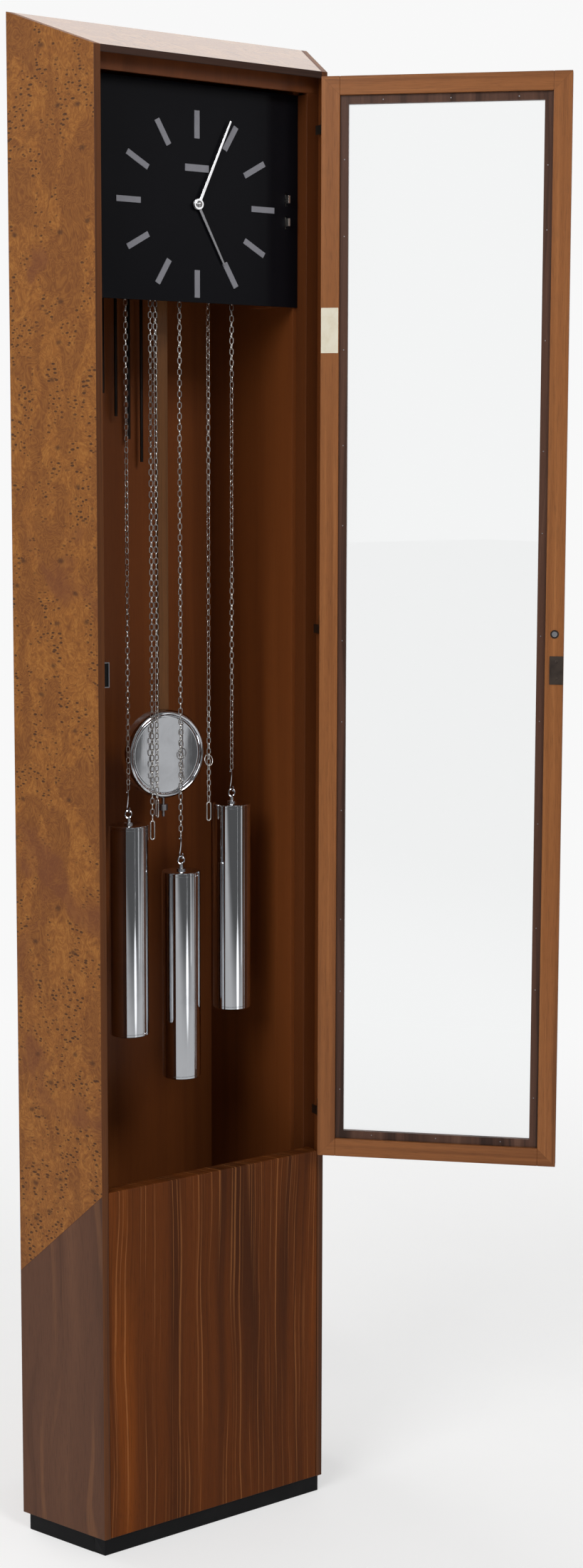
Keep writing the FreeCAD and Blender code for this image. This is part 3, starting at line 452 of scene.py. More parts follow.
        knots = wire.node("ShaderNodeTexVoronoi", Vector=wire.scaled(flat, (26.0, 22.0, 0.0)), Scale=1.0)
        knots.voronoi_dimensions = "2D"
        rough_edge = wire.math("ADD", knots.outputs["Distance"], wire.times(fibres, 0.09))
        knot = wire.rest(wire.step(rough_edge, 0.06, 0.15))
        knot = wire.times(knot, wire.step(wire.axes(knots.outputs["Color"])[1], 0.50, 0.54))
        eyes = wire.times(wire.math("MAXIMUM", pin, wire.times(knot, 0.8)), given["Eyes"])
        halo = wire.times(wire.times(cluster, 0.42), wire.step(fibres, 0.40, 0.58))
        colour = wire.mix(halo, colour, given["Shade"])
        colour = wire.mix(eyes, colour, given["Eye"])
        ends = wire.tree.nodes["ends_out"].inputs
        wire.fill(ends["Color"], colour)
        wire.fill(ends["Height"], wire.math("SUBTRACT", wire.times(fibres, 0.25), eyes))
        wire.fill(ends["Gloss"], wire.times(wire.math("ADD", eyes, fibres), 0.4))

    @staticmethod
    def handling(name: str) -> None:
        """Faint marks of use: soft clouds and fine scratches, each from 0 to 1.

        Args:
            name: the group's name.
        """
        wire = Effects.open(name, [
            ("Vector", "NodeSocketVector", None), ("Clouds", "NodeSocketFloat", 14.0),
            ("Scratches", "NodeSocketFloat", 0.5), ("Along", "NodeSocketVector", None)],
            [("Marks", "NodeSocketFloat"), ("Height", "NodeSocketFloat")])
        given = wire.tree.nodes["ends_in"].outputs
        grown = wire.grown(given["Vector"], given["Clouds"])
        clouds = wire.step(wire.noise(grown, 4.0, 0.6, 0.4), 0.42, 0.72)
        lines = wire.noise(wire.vector("MULTIPLY", given["Vector"], given["Along"]), 2.0, 0.55)
        scratches = wire.times(wire.step(lines, 0.55, 0.70), given["Scratches"])
        ends = wire.tree.nodes["ends_out"].inputs
        wire.fill(ends["Marks"], wire.math("MAXIMUM", clouds, scratches))
        wire.fill(ends["Height"], scratches)


@dataclass(frozen=True)
class Finish:
    """A surface's finish: gives one material, with the Principled shader in the material itself."""

    name: str

    def material(self) -> bpy.types.Material:
        """The finish's material, made at its first use under a name that no packed material has.

        Returns:
            The material.
        """
        label = f"{self.name}_finish"
        found = bpy.data.materials.get(label)
        if found:
            return found
        made = bpy.data.materials.new(label)
        made.use_nodes = True
        wire = Wiring(made.node_tree)
        shader = made.node_tree.nodes["Principled BSDF"]
        self.wire(wire, shader, wire.node("ShaderNodeTexCoord").outputs["Object"])
        return made

    def wire(self, wire: Wiring, shader: bpy.types.Node, at: Socket) -> None:
        """Fills the shader's inputs.

        Args:
            wire: wiring in the material's tree.
            shader: the material's Principled shader.
            at: place on the surface, in metres in the clock's frame.
        """
        raise NotImplementedError

    @staticmethod
    def relief(wire: Wiring, shader: bpy.types.Node, height: Socket, strength: float,
               depth: float = GRAIN_RELIEF) -> None:
        """Sets the shader's normal from a height."""
        bump = wire.node("ShaderNodeBump", Height=height, Strength=strength, Distance=depth)
        wire.fill(shader.inputs["Normal"], bump.outputs[0])


@dataclass(frozen=True)
class GrainedWood(Finish):
    """Lacquered wood with straight grain."""

    dark: Colour
    mid: Colour
    light: Colour
    grain: Grain = Grain.UPRIGHT
    bands: float = 60.0
    fine: float = 216.0
    waviness: float = 0.01
    lines: float = 0.3
    threads: float = 0.0
    pores: float = 0.3
    roughness: float = 0.38
    coat: float = 0.15
    specular: float = WOOD_SPECULAR

    def figure(self, wire: Wiring, at: Socket) -> bpy.types.Node:
        """Places the grain group, its grain turned to this wood's direction.

        Args:
            wire: wiring in the material's tree.
            at: place on the surface, in metres in the clock's frame.

        Returns:
            The group's node.
        """
        turned = wire.node("ShaderNodeMapping", Vector=at, Rotation=self.grain.value).outputs[0]
        return Effects.place(wire, Effects.straight_grain, Vector=turned, Bands=self.bands, Fine=self.fine,
                             Waviness=self.waviness, Lines=self.lines, Threads=self.threads,
                             Pores=self.pores, Dark=self.dark, Mid=self.mid, Light=self.light)

    def wire(self, wire: Wiring, shader: bpy.types.Node, at: Socket) -> None:
        """Colour, gloss and relief from the grain.

        Args:
            wire: wiring in the material's tree.
            shader: the material's Principled shader.
            at: place on the surface, in metres in the clock's frame.
        """
        figure = self.figure(wire, at)
        rough = wire.math("ADD", wire.times(figure.outputs["Gloss"], 0.25), self.roughness)
        wire.set(shader, Base_Color=figure.outputs["Color"], Roughness=rough, Coat_Weight=self.coat,
                 Coat_Roughness=COAT_ROUGHNESS, Specular_IOR_Level=self.specular)
        self.relief(wire, shader, figure.outputs["Height"], 0.25)


@dataclass(frozen=True)
class BurlVeneer(Finish):
    """Lacquered burl veneer."""

    base: Colour = srgb(130, 79, 30)
    shade: Colour = srgb(100, 56, 20)
    pale: Colour = srgb(150, 98, 42)
    eye: Colour = srgb(40, 20, 8)
    roughness: float = 0.46
    coat: float = 0.10
    coat_roughness: float = 0.25
    coat_ior: float = 1.5
    specular: float = WOOD_SPECULAR
    rosy: Colour = srgb(100, 55, 29)
    grain_depth: float = 0.15

    def figure(self, wire: Wiring, at: Socket) -> bpy.types.Node:
        """Places the burl group."""
        return Effects.place(wire, Effects.burl, Vector=at, Base=self.base, Shade=self.shade, Light=self.pale,
                             Rosy=self.rosy, Eye=self.eye)

    def wire(self, wire: Wiring, shader: bpy.types.Node, at: Socket) -> None:
        """Colour, gloss and relief from the burl.

        Args:
            wire: wiring in the material's tree.
            shader: the material's Principled shader.
            at: place on the surface, in metres in the clock's frame.
        """
        figure = self.figure(wire, at)
        rough = wire.math("ADD", wire.times(figure.outputs["Gloss"], 0.15), self.roughness)
        wire.set(shader, Base_Color=figure.outputs["Color"], Roughness=rough, Coat_Weight=self.coat,
                 Coat_Roughness=self.coat_roughness, Coat_IOR=self.coat_ior,
                 Specular_IOR_Level=self.specular)
        self.relief(wire, shader, figure.outputs["Height"], self.grain_depth)


@dataclass(frozen=True)
class FlareVeneer(Finish):
    """Case side: burl above a slanted joint, dark veneer below it, edge strip in front, stain inside."""

    burl: BurlVeneer
    lower: GrainedWood
    inside: GrainedWood
    edge: GrainedWood
    joint_front: float = 0.489
    joint_fall: float = 0.129 / 0.130
    outer_x: float = 0.171
    panel: float = 0.009
    seam_half: float = 0.0005
    seam_share: float = 0.6
    roughness: float = 0.42

    def wire(self, wire: Wiring, shader: bpy.types.Node, at: Socket) -> None:
        """Chooses among the four woods by the place on the panel.

        Args:
            wire: wiring in the material's tree.
            shader: the material's Principled shader.
            at: place on the surface, in metres in the clock's frame.
        """
        x, y, z = wire.axes(at)
        depth = wire.math("SUBTRACT", y, FRONT_Y)
        line = wire.math("SUBTRACT", self.joint_front, wire.times(depth, self.joint_fall))
        above = wire.step(wire.math("SUBTRACT", z, line), -0.0002, 0.0002)
        seam = wire.math("LESS_THAN", wire.math("ABSOLUTE", wire.math("SUBTRACT", z, line)), self.seam_half)
        middle = wire.math("ADD", wire.times(depth, SLANT), self.outer_x - self.panel * 0.6)
        within = wire.math("LESS_THAN", wire.math("ABSOLUTE", x), middle)
        front = wire.math("LESS_THAN", depth, FRONT_SKIN)
        burl, lower = self.burl.figure(wire, at), self.lower.figure(wire, at)
        inside, edge = self.inside.figure(wire, at), self.edge.figure(wire, at)
        colour = wire.mix(above, lower.outputs["Color"], burl.outputs["Color"])
        colour = wire.mix(wire.times(seam, self.seam_share), colour, SEAM_TONE)
        colour = wire.mix(within, colour, inside.outputs["Color"])
        colour = wire.mix(front, colour, edge.outputs["Color"])
        fuller = wire.math("ADD", lower.outputs["Gloss"], 0.1)
        gloss = wire.node("ShaderNodeMix", Factor=above, A=fuller, B=burl.outputs["Gloss"]).outputs[0]
        rough = wire.math("ADD", wire.times(gloss, 0.18), self.roughness)
        wire.set(shader, Base_Color=colour, Roughness=rough, Coat_Weight=self.burl.coat,
                 Coat_Roughness=self.burl.coat_roughness, Specular_IOR_Level=WOOD_SPECULAR)
        height = wire.node("ShaderNodeMix", Factor=above, A=lower.outputs["Height"], B=burl.outputs["Height"])
        self.relief(wire, shader, height.outputs[0], 0.15)


@dataclass(frozen=True)
class FacedWood(Finish):
    """One wood, with another on the face that lies beyond a plane."""

    main: GrainedWood | BurlVeneer
    facing: GrainedWood
    outward: Point
    limit: float

    def wire(self, wire: Wiring, shader: bpy.types.Node, at: Socket) -> None:
        """The main wood's finish, its colour changed on the facing.

        Args:
            wire: wiring in the material's tree.
            shader: the material's Principled shader.
            at: place on the surface, in metres in the clock's frame.
        """
        self.main.wire(wire, shader, at)
        level = wire.node("ShaderNodeVectorMath")
        level.operation = "DOT_PRODUCT"
        wire.fill(level.inputs[0], at)
        wire.fill(level.inputs[1], self.outward)
        beyond = wire.math("GREATER_THAN", level.outputs["Value"], self.limit)
        colour = shader.inputs["Base Color"].links[0].from_socket
        facing = self.facing.figure(wire, at)
        wire.set(shader, Base_Color=wire.mix(beyond, colour, facing.outputs["Color"]),
                 Coat_Weight=wire.times(wire.rest(beyond), self.main.coat))


@dataclass(frozen=True)
class MitredWood(Finish):
    """Door frame: grain along stile and rail, which meet at a fine mitred joint in each corner."""

    wood: GrainedWood
    hinge: Point
    angle: float
    edge: float
    width: float
    low: float
    high: float
    joint_half: float = 0.00035
    joint_share: float = 0.55

    def wire(self, wire: Wiring, shader: bpy.types.Node, at: Socket) -> None:
        """Grain turned by the nearer side of each corner's joint.

        Args:
            wire: wiring in the material's tree.
            shader: the material's Principled shader.
            at: place on the surface, in metres in the clock's frame.
        """
        from_hinge = wire.vector("SUBTRACT", at, self.hinge)
        local = wire.node("ShaderNodeVectorRotate", Vector=from_hinge, Angle=-self.angle)
        local.rotation_type = "Z_AXIS"
        x, _, z = wire.axes(local.outputs[0])
        across = wire.math("SUBTRACT", wire.times(x, -1.0), self.edge)
        side = wire.math("MINIMUM", across, wire.math("SUBTRACT", self.width, across))
        level = wire.math("ADD", z, self.hinge[2])
        end = wire.math("MINIMUM", wire.math("SUBTRACT", level, self.low),
                        wire.math("SUBTRACT", self.high, level))
        apart = wire.math("SUBTRACT", side, end)
        rail = wire.math("GREATER_THAN", apart, 0.0)
        flat = wire.node("ShaderNodeMapping", Vector=local.outputs[0], Rotation=Grain.ACROSS.value).outputs[0]
        chosen = wire.node("ShaderNodeMix")
        chosen.data_type = "VECTOR"
        for index, value in ((0, rail), (4, local.outputs[0]), (5, flat)):
            wire.fill(chosen.inputs[index], value)
        figure = self.wood.figure(wire, chosen.outputs[1])
        joint = wire.math("LESS_THAN", wire.math("ABSOLUTE", apart), self.joint_half)
        joint = wire.times(joint, self.joint_share)
        rough = wire.math("ADD", wire.times(figure.outputs["Gloss"], 0.25), self.wood.roughness)
        wire.set(shader, Base_Color=wire.mix(joint, figure.outputs["Color"], self.wood.dark), Roughness=rough,
                 Coat_Weight=self.wood.coat, Coat_Roughness=COAT_ROUGHNESS, Specular_IOR_Level=WOOD_SPECULAR)
        self.relief(wire, shader, figure.outputs["Height"], 0.2)


@dataclass(frozen=True)
class Metal(Finish):
    """Bare or plated metal with faint marks of use."""

    colour: Colour
    roughness: float
    marks: float = 0.08
    scratches: float = 0.4
    along: Point = (900.0, 900.0, 14.0)
    clouds: float = 18.0
    tarnish: Colour | None = None

    def wire(self, wire: Wiring, shader: bpy.types.Node, at: Socket) -> None:
        """Gloss, tone and fine relief from the marks.

        Args:
            wire: wiring in the material's tree.
            shader: the material's Principled shader.
            at: place on the surface, in metres in the clock's frame.
        """
        made = Effects.place(wire, Effects.handling, Vector=at, Clouds=self.clouds, Scratches=self.scratches,
                             Along=self.along)
        marks = made.outputs["Marks"]
        dull = self.tarnish or tuple(0.82 * part for part in self.colour)
        wire.set(shader, Base_Color=wire.mix(wire.times(marks, 0.5), self.colour, dull), Metallic=1.0,
                 Roughness=wire.math("ADD", wire.times(marks, self.marks), self.roughness))
        self.relief(wire, shader, made.outputs["Height"], 0.04, MARK_RELIEF)


@dataclass(frozen=True)
class Paint(Finish):
    """Even paint, enamel or paper with faint marks of use."""

    colour: Colour
    worn: Colour
    roughness: float
    clouds: float = 22.0
    scratches: float = 0.25
    along: Point = (260.0, 260.0, 260.0)
    wear: float = 0.35
    specular: float = 0.5

    def wire(self, wire: Wiring, shader: bpy.types.Node, at: Socket) -> None:
        """Tone and gloss from the marks.

        Args:
            wire: wiring in the material's tree.
            shader: the material's Principled shader.
            at: place on the surface, in metres in the clock's frame.
        """
        made = Effects.place(wire, Effects.handling, Vector=at, Clouds=self.clouds, Scratches=self.scratches,
                             Along=self.along)
        marks = wire.times(made.outputs["Marks"], self.wear)
        wire.set(shader, Base_Color=wire.mix(marks, self.colour, self.worn),
                 Roughness=wire.math("ADD", wire.times(marks, 0.2), self.roughness),
                 Specular_IOR_Level=self.specular)
        self.relief(wire, shader, made.outputs["Height"], 0.05, MARK_RELIEF)


@dataclass(frozen=True)
class Pane(Finish):
    """Clear window glass with faint smears."""

    tint: Colour = (0.975, 0.985, 0.985)
    specular: float = 0.15
    ior: float = 1.45
    clouds: float = 9.0
    scratches: float = 0.2
    along: Point = (30.0, 30.0, 400.0)
    smear: float = 0.02

    def wire(self, wire: Wiring, shader: bpy.types.Node, at: Socket) -> None:
        """Clear transmission, its gloss broken by smears.

        Args:
            wire: wiring in the material's tree.
            shader: the material's Principled shader.
            at: place on the surface, in metres in the clock's frame.
        """
        made = Effects.place(wire, Effects.handling, Vector=at, Clouds=self.clouds, Scratches=self.scratches,
                             Along=self.along)
        wire.set(shader, Base_Color=self.tint, Transmission_Weight=1.0, IOR=self.ior,
                 Specular_IOR_Level=self.specular,
                 Roughness=wire.times(made.outputs["Marks"], self.smear))


CHROME = Metal("polished_chrome", srgb(214, 216, 220), 0.05, marks=0.05, scratches=0.25)
SATIN_STEEL = Metal("satin_steel", srgb(172, 172, 176), 0.34, marks=0.10)
HAND_CHROME = Metal("hand_chrome", srgb(222, 222, 224), 0.12, marks=0.06)
NICKEL = Metal("chain_nickel", srgb(232, 230, 226), 0.26, marks=0.10, tarnish=srgb(180, 174, 164))
KEEPER_STEEL = Metal("keeper_steel", srgb(70, 62, 58), 0.42, marks=0.3, tarnish=srgb(96, 84, 74))
DARK_STEEL = Metal("aged_steel", srgb(104, 96, 86), 0.36, marks=0.18, tarnish=srgb(70, 58, 46))
BRASS = Metal("movement_brass", srgb(204, 164, 88), 0.26, marks=0.14, tarnish=srgb(150, 112, 58))
IRON = Metal("chime_iron", srgb(62, 58, 56), 0.50, marks=0.14, tarnish=srgb(40, 36, 34))
DIAL_BLACK = Paint("dial_black", srgb(9, 9, 13), srgb(17, 17, 22), 0.30, clouds=6.0, wear=0.25,
                   specular=0.12)
MARKER_GREY = Paint("marker_aluminium", srgb(114, 114, 120), srgb(100, 100, 108), 0.42, clouds=40.0,
                    wear=0.3)
PLINTH_BLACK = Paint("plinth_black", srgb(15, 15, 16), srgb(32, 31, 31), 0.42, clouds=30.0, wear=0.25,
                     specular=0.12)
PAPER = Paint("bare_paper", srgb(206, 200, 182), srgb(190, 178, 152), 0.75, clouds=60.0, wear=0.5)
GLASS = Pane("clear_glass")
ROSEWOOD = GrainedWood("rosewood_front", srgb(56, 28, 12), srgb(86, 43, 15), srgb(112, 57, 17), bands=11.0,
                       fine=400.0, waviness=0.024, lines=0.50, threads=0.36, pores=0.30, roughness=0.44,
                       coat=0.0, specular=0.07)
LOWER_SIDE = GrainedWood("rosewood_side", srgb(56, 33, 21), srgb(84, 53, 36), srgb(98, 64, 44), bands=30.0,
                         fine=300.0, waviness=0.016, lines=0.45, threads=0.15, pores=0.36)
STAIN = GrainedWood("stained_interior", srgb(98, 51, 22), srgb(109, 58, 25), srgb(116, 63, 28), bands=26.0,
                    fine=160.0, waviness=0.012, lines=0.14, pores=0.20, roughness=0.42)
# Darker copy of the interior stain for the door stops and dial cheeks: painted shade of the recess around the
# opening.
RECESS_SHADE_STAIN = GrainedWood("stain_painted_recess_shade", srgb(78, 40, 17), srgb(88, 46, 20), srgb(94, 50, 22), bands=26.0,
                           fine=160.0, waviness=0.012, lines=0.14, pores=0.20, roughness=0.46, specular=0.10)
TOP_EDGE = GrainedWood("top_edge", srgb(36, 21, 15), srgb(54, 35, 27), srgb(64, 43, 34), Grain.ACROSS,
                       bands=120.0, fine=430.0, lines=0.2)
EDGE_STRIP = GrainedWood("edge_strip", srgb(64, 33, 12), srgb(86, 47, 18), srgb(98, 57, 24), bands=120.0,
                         fine=430.0, lines=0.2)
DOOR_WOOD = GrainedWood("door_wood", srgb(100, 58, 28), srgb(130, 80, 42), srgb(146, 94, 52), bands=40.0,
                        fine=260.0, waviness=0.012, lines=0.24, threads=0.15, pores=0.36, roughness=0.40)
BEAD_WOOD = GrainedWood("bead_wood", srgb(46, 28, 20), srgb(76, 50, 38), srgb(92, 64, 50), bands=160.0,
                        fine=560.0, lines=0.2)
LATH_WOOD = GrainedWood("pendulum_lath", srgb(84, 52, 26), srgb(106, 68, 36), srgb(118, 78, 44), bands=150.0,
                        fine=540.0)
BURL = BurlVeneer("burl_side")
# Burl of the top face, with much lighter tones than the sides' burl: painted light from above on the top.
TOP_BURL_PAINTED_LIGHT = BurlVeneer("burl_top_painted_light", srgb(178, 121, 65), srgb(152, 96, 47), srgb(194, 140, 80), srgb(95, 55, 26),
                      roughness=0.34, coat=0.88, coat_roughness=0.10, coat_ior=2.0, rosy=srgb(165, 107, 58),
                      grain_depth=0.04)
PLY = GrainedWood("back_ply", srgb(96, 60, 32), srgb(134, 90, 50), srgb(150, 104, 62), bands=30.0, fine=110.0,
                  lines=0.15, roughness=0.6, coat=0.0)
SIDE_VENEER = FlareVeneer("flare_side_veneer", BURL, LOWER_SIDE, STAIN, EDGE_STRIP)
TOP_VENEER_PAINTED_LIGHT = FacedWood("top_veneer_painted_light", TOP_BURL_PAINTED_LIGHT, TOP_EDGE, (0.0, -1.0, 0.0), -FRONT_Y - FRONT_SKIN)
BACK_FINISH = FacedWood("back_panel_wood", STAIN, PLY, (0.0, 1.0, 0.0), -FRONT_Y - FRONT_SKIN)


class Shapes:
    """Meshes that several pieces are made of."""

    @staticmethod
    def lathe(mesh: bmesh.types.BMesh, profile: Sequence[tuple[float, float]], place: Matrix,
              steps: int) -> None:
        """Turns a profile about Z and adds it to a mesh.

        Args:
            mesh: mesh that gets the turned form.
            profile: (radius, height) points; a radius of zero closes an end.
            place: where the form's own frame goes.
            steps: faces round the axis.
        """
        rings = []
        for radius, height in profile:
            if radius < 1e-7:
                rings.append([mesh.verts.new(place @ Vector((0.0, 0.0, height)))])
                continue
            ring = []
            for index in range(steps):
                angle = 2.0 * math.pi * index / steps
                point = Vector((radius * math.cos(angle), radius * math.sin(angle), height))
                ring.append(mesh.verts.new(place @ point))
            rings.append(ring)
        for lower, upper in zip(rings, rings[1:]):
            for index in range(steps):
                after = (index + 1) % steps
                corners = [lower[index % len(lower)], lower[after % len(lower)], upper[after % len(upper)],
                           upper[index % len(upper)]]
                unique = list(dict.fromkeys(corners))
                if len(unique) > 2:
                    mesh.faces.new(unique)

    @staticmethod
    def wire(mesh: bmesh.types.BMesh, path: Sequence[Vector], radius: float, closed: bool,
             sides: int = 8) -> None:
        """Bends a round wire along a path and adds it to a mesh.

        Args:
            mesh: mesh that gets the wire.
            path: points along the wire's middle, in one plane or nearly so.
            radius: the wire's radius.
            closed: whether the ends join.
            sides: faces round the wire.
        """
        count = len(path)
        middle = sum(path, Vector()) / count
        normal = Vector()
        for index in range(count):
            normal += (path[index] - middle).cross(path[(index + 1) % count] - middle)
        normal = normal.normalized() if normal.length > 1e-12 else Vector((0.0, 1.0, 0.0))
        rings = []
        for index, point in enumerate(path):
            before = path[index - 1] if closed or index else point
            after = path[(index + 1) % count] if closed or index < count - 1 else point
            ahead = (after - before).normalized()
            outward = ahead.cross(normal).normalized()
            ring = []
            for turn in range(sides):
                angle = 2.0 * math.pi * turn / sides
                offset = math.cos(angle) * outward + math.sin(angle) * normal
                ring.append(mesh.verts.new(point + radius * offset))
            rings.append(ring)
        pairs = list(zip(rings, rings[1:])) + ([(rings[-1], rings[0])] if closed else [])
        for first, second in pairs:
            for turn in range(sides):
                after = (turn + 1) % sides
                mesh.faces.new([first[turn], first[after], second[after], second[turn]])
        if not closed:
            mesh.faces.new(rings[0][::-1])
            mesh.faces.new(rings[-1])

    @staticmethod
    def oval(centre: Vector, length: float, width: float, across: Vector, steps: int = 5) -> list[Vector]:
        """Path of an upright straight-sided link: two half circles joined by straight runs.

        Args:
            centre: the link's middle.
            length: height of the path.
            width: width of the path.
            across: direction of the width.
            steps: pieces of each half circle.

        Returns:
            The points of the closed path.
        """
        radius = width / 2.0
        straight = length / 2.0 - radius
        path = []
        for end in (1.0, -1.0):
            for index in range(steps + 1):
                angle = math.pi * index / steps
                path.append(centre + across * (end * radius * math.cos(angle))
                            + UP * (end * (straight + radius * math.sin(angle))))
        return path

    @staticmethod
    def ellipse(centre: Vector, reach: Point, steps: int) -> list[Vector]:
        """Path of a ring: X follows the cosine of the turn, Y and Z its sine, each to its own reach.

        Args:
            centre: the ring's middle.
            reach: reach along X, Y and Z.
            steps: number of points.

        Returns:
            The points of the closed path.
        """
        turns = [2.0 * math.pi * index / steps for index in range(steps)]
        wide, deep, tall = reach
        return [centre + Vector((wide * math.cos(turn), deep * math.sin(turn), tall * math.sin(turn)))
                for turn in turns]

    @staticmethod
    def plate(mesh: bmesh.types.BMesh, width: float, height: float, thickness: float, corner: float,
              place: Matrix) -> None:
        """Flat plate with round corners: X across, Z up, its front at Y = -thickness.

        Args:
            mesh: mesh that gets the plate.
            width: size along X.
            height: size along Z.
            thickness: size along Y.
            corner: radius of the corners.
            place: where the plate's own frame goes.
        """
        rim = []
        for x_sign, z_sign, start in ((1, 1, 0.0), (-1, 1, 0.5), (-1, -1, 1.0), (1, -1, 1.5)):
            for index in range(5):
                angle = math.pi * (start + index / 8.0)
                rim.append(Vector((x_sign * (width / 2 - corner) + corner * math.cos(angle), 0.0,
                                   z_sign * (height / 2 - corner) + corner * math.sin(angle))))
        back = [mesh.verts.new(place @ point) for point in rim]
        front = [mesh.verts.new(place @ (point + Vector((0.0, -thickness, 0.0)))) for point in rim]
        mesh.faces.new(back)
        mesh.faces.new(front[::-1])
        for index in range(len(rim)):
            after = (index + 1) % len(rim)
            mesh.faces.new([back[after], back[index], front[index], front[after]])

    @staticmethod
    def slotted_screw(mesh: bmesh.types.BMesh, radius: float, place: Matrix, turn: float,
                      share: float = 0.2) -> None:
        """Countersunk head with a slot, which rises along the place's Z.

        Args:
            mesh: mesh to add to.
            radius: the head's radius.
            place: middle of the head's foot.
            turn: angle of the slot.
            share: height of the head as a share of its radius.
        """
        slot, rise, steps = radius * 0.14, radius * share, 12
        spun = place @ Matrix.Rotation(turn, 4, "Z")
        Shapes.lathe(mesh, [(0.0, 0.0), (radius, 0.0), (radius, rise * 0.3), (0.0, rise * 0.3)], spun, 24)
        first = math.asin(slot / radius)
        angles = [first + (math.pi - 2 * first) * index / steps for index in range(steps + 1)]
        arc = [Vector((radius * math.cos(angle), radius * math.sin(angle), rise * 0.2)) for angle in angles]
        shrunk = [Vector((point.x * 0.94, slot + (point.y - slot) * 0.94, rise)) for point in arc]
        for side in (0.0, math.pi):
            half = spun @ Matrix.Rotation(side, 4, "Z")
            low = [mesh.verts.new(half @ point) for point in arc]
            high = [mesh.verts.new(half @ point) for point in shrunk]
            mesh.faces.new(high)
            mesh.faces.new(low[::-1])
            for index in range(len(arc)):
                after = (index + 1) % len(arc)
                mesh.faces.new([low[index], low[after], high[after], high[index]])


class Bench:
    """Where the clock is dressed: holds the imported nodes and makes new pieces."""

    joined: float = 1e-6
    rounded_from: float = math.radians(38)

    def __init__(self, frame: dict) -> None:
        """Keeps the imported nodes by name."""
        self.nodes: dict[str, bpy.types.Object] = frame["nodes"]

    def dress(self, finish: Finish, names: Iterable[str], soften: float = 0.0) -> None:
        """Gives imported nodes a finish, with slightly rounded edges.

        Args:
            finish: the finish to give.
            names: the nodes.
            soften: width of the rounded edges, or zero for none.
        """
        for name in names:
            node = self.nodes[name]
            node.data.materials.clear()
            node.data.materials.append(finish.material())
            if soften:
                weld = node.modifiers.new("joined_corners", "WELD")
                weld.merge_threshold = self.joined
                bevel = node.modifiers.new("rounded_edges", "BEVEL")
                bevel.width = soften
                bevel.segments = 2
                bevel.limit_method = "ANGLE"
                bevel.angle_limit = self.rounded_from
                bevel.harden_normals = True
            log.info("dressed %s in %s", name, finish.name)

    def piece(self, name: str, mesh: bmesh.types.BMesh, finish: Finish, body: str | None, slot: str,
              replaces: Sequence[str] = (), smooth: float = 40.0) -> bpy.types.Object:
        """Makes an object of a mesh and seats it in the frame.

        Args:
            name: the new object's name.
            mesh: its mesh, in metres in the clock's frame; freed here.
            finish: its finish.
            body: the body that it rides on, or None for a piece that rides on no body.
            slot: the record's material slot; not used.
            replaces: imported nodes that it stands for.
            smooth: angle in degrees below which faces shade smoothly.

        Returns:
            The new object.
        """
        bmesh.ops.recalc_face_normals(mesh, faces=mesh.faces)
        for edge in mesh.edges:
            edge.smooth = edge.calc_face_angle(0.0) < math.radians(smooth)
        for face in mesh.faces:
            face.smooth = True
        data = bpy.data.meshes.new(name)
        mesh.to_mesh(data)
        mesh.free()
        data.materials.append(finish.material())
        made = bpy.data.objects.new(name, data)
        bpy.context.scene.collection.objects.link(made)
        if body:
            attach(made, body)
        if replaces:
            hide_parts(*replaces)
        log.info("made %s with %d faces", name, len(data.polygons))
        return made


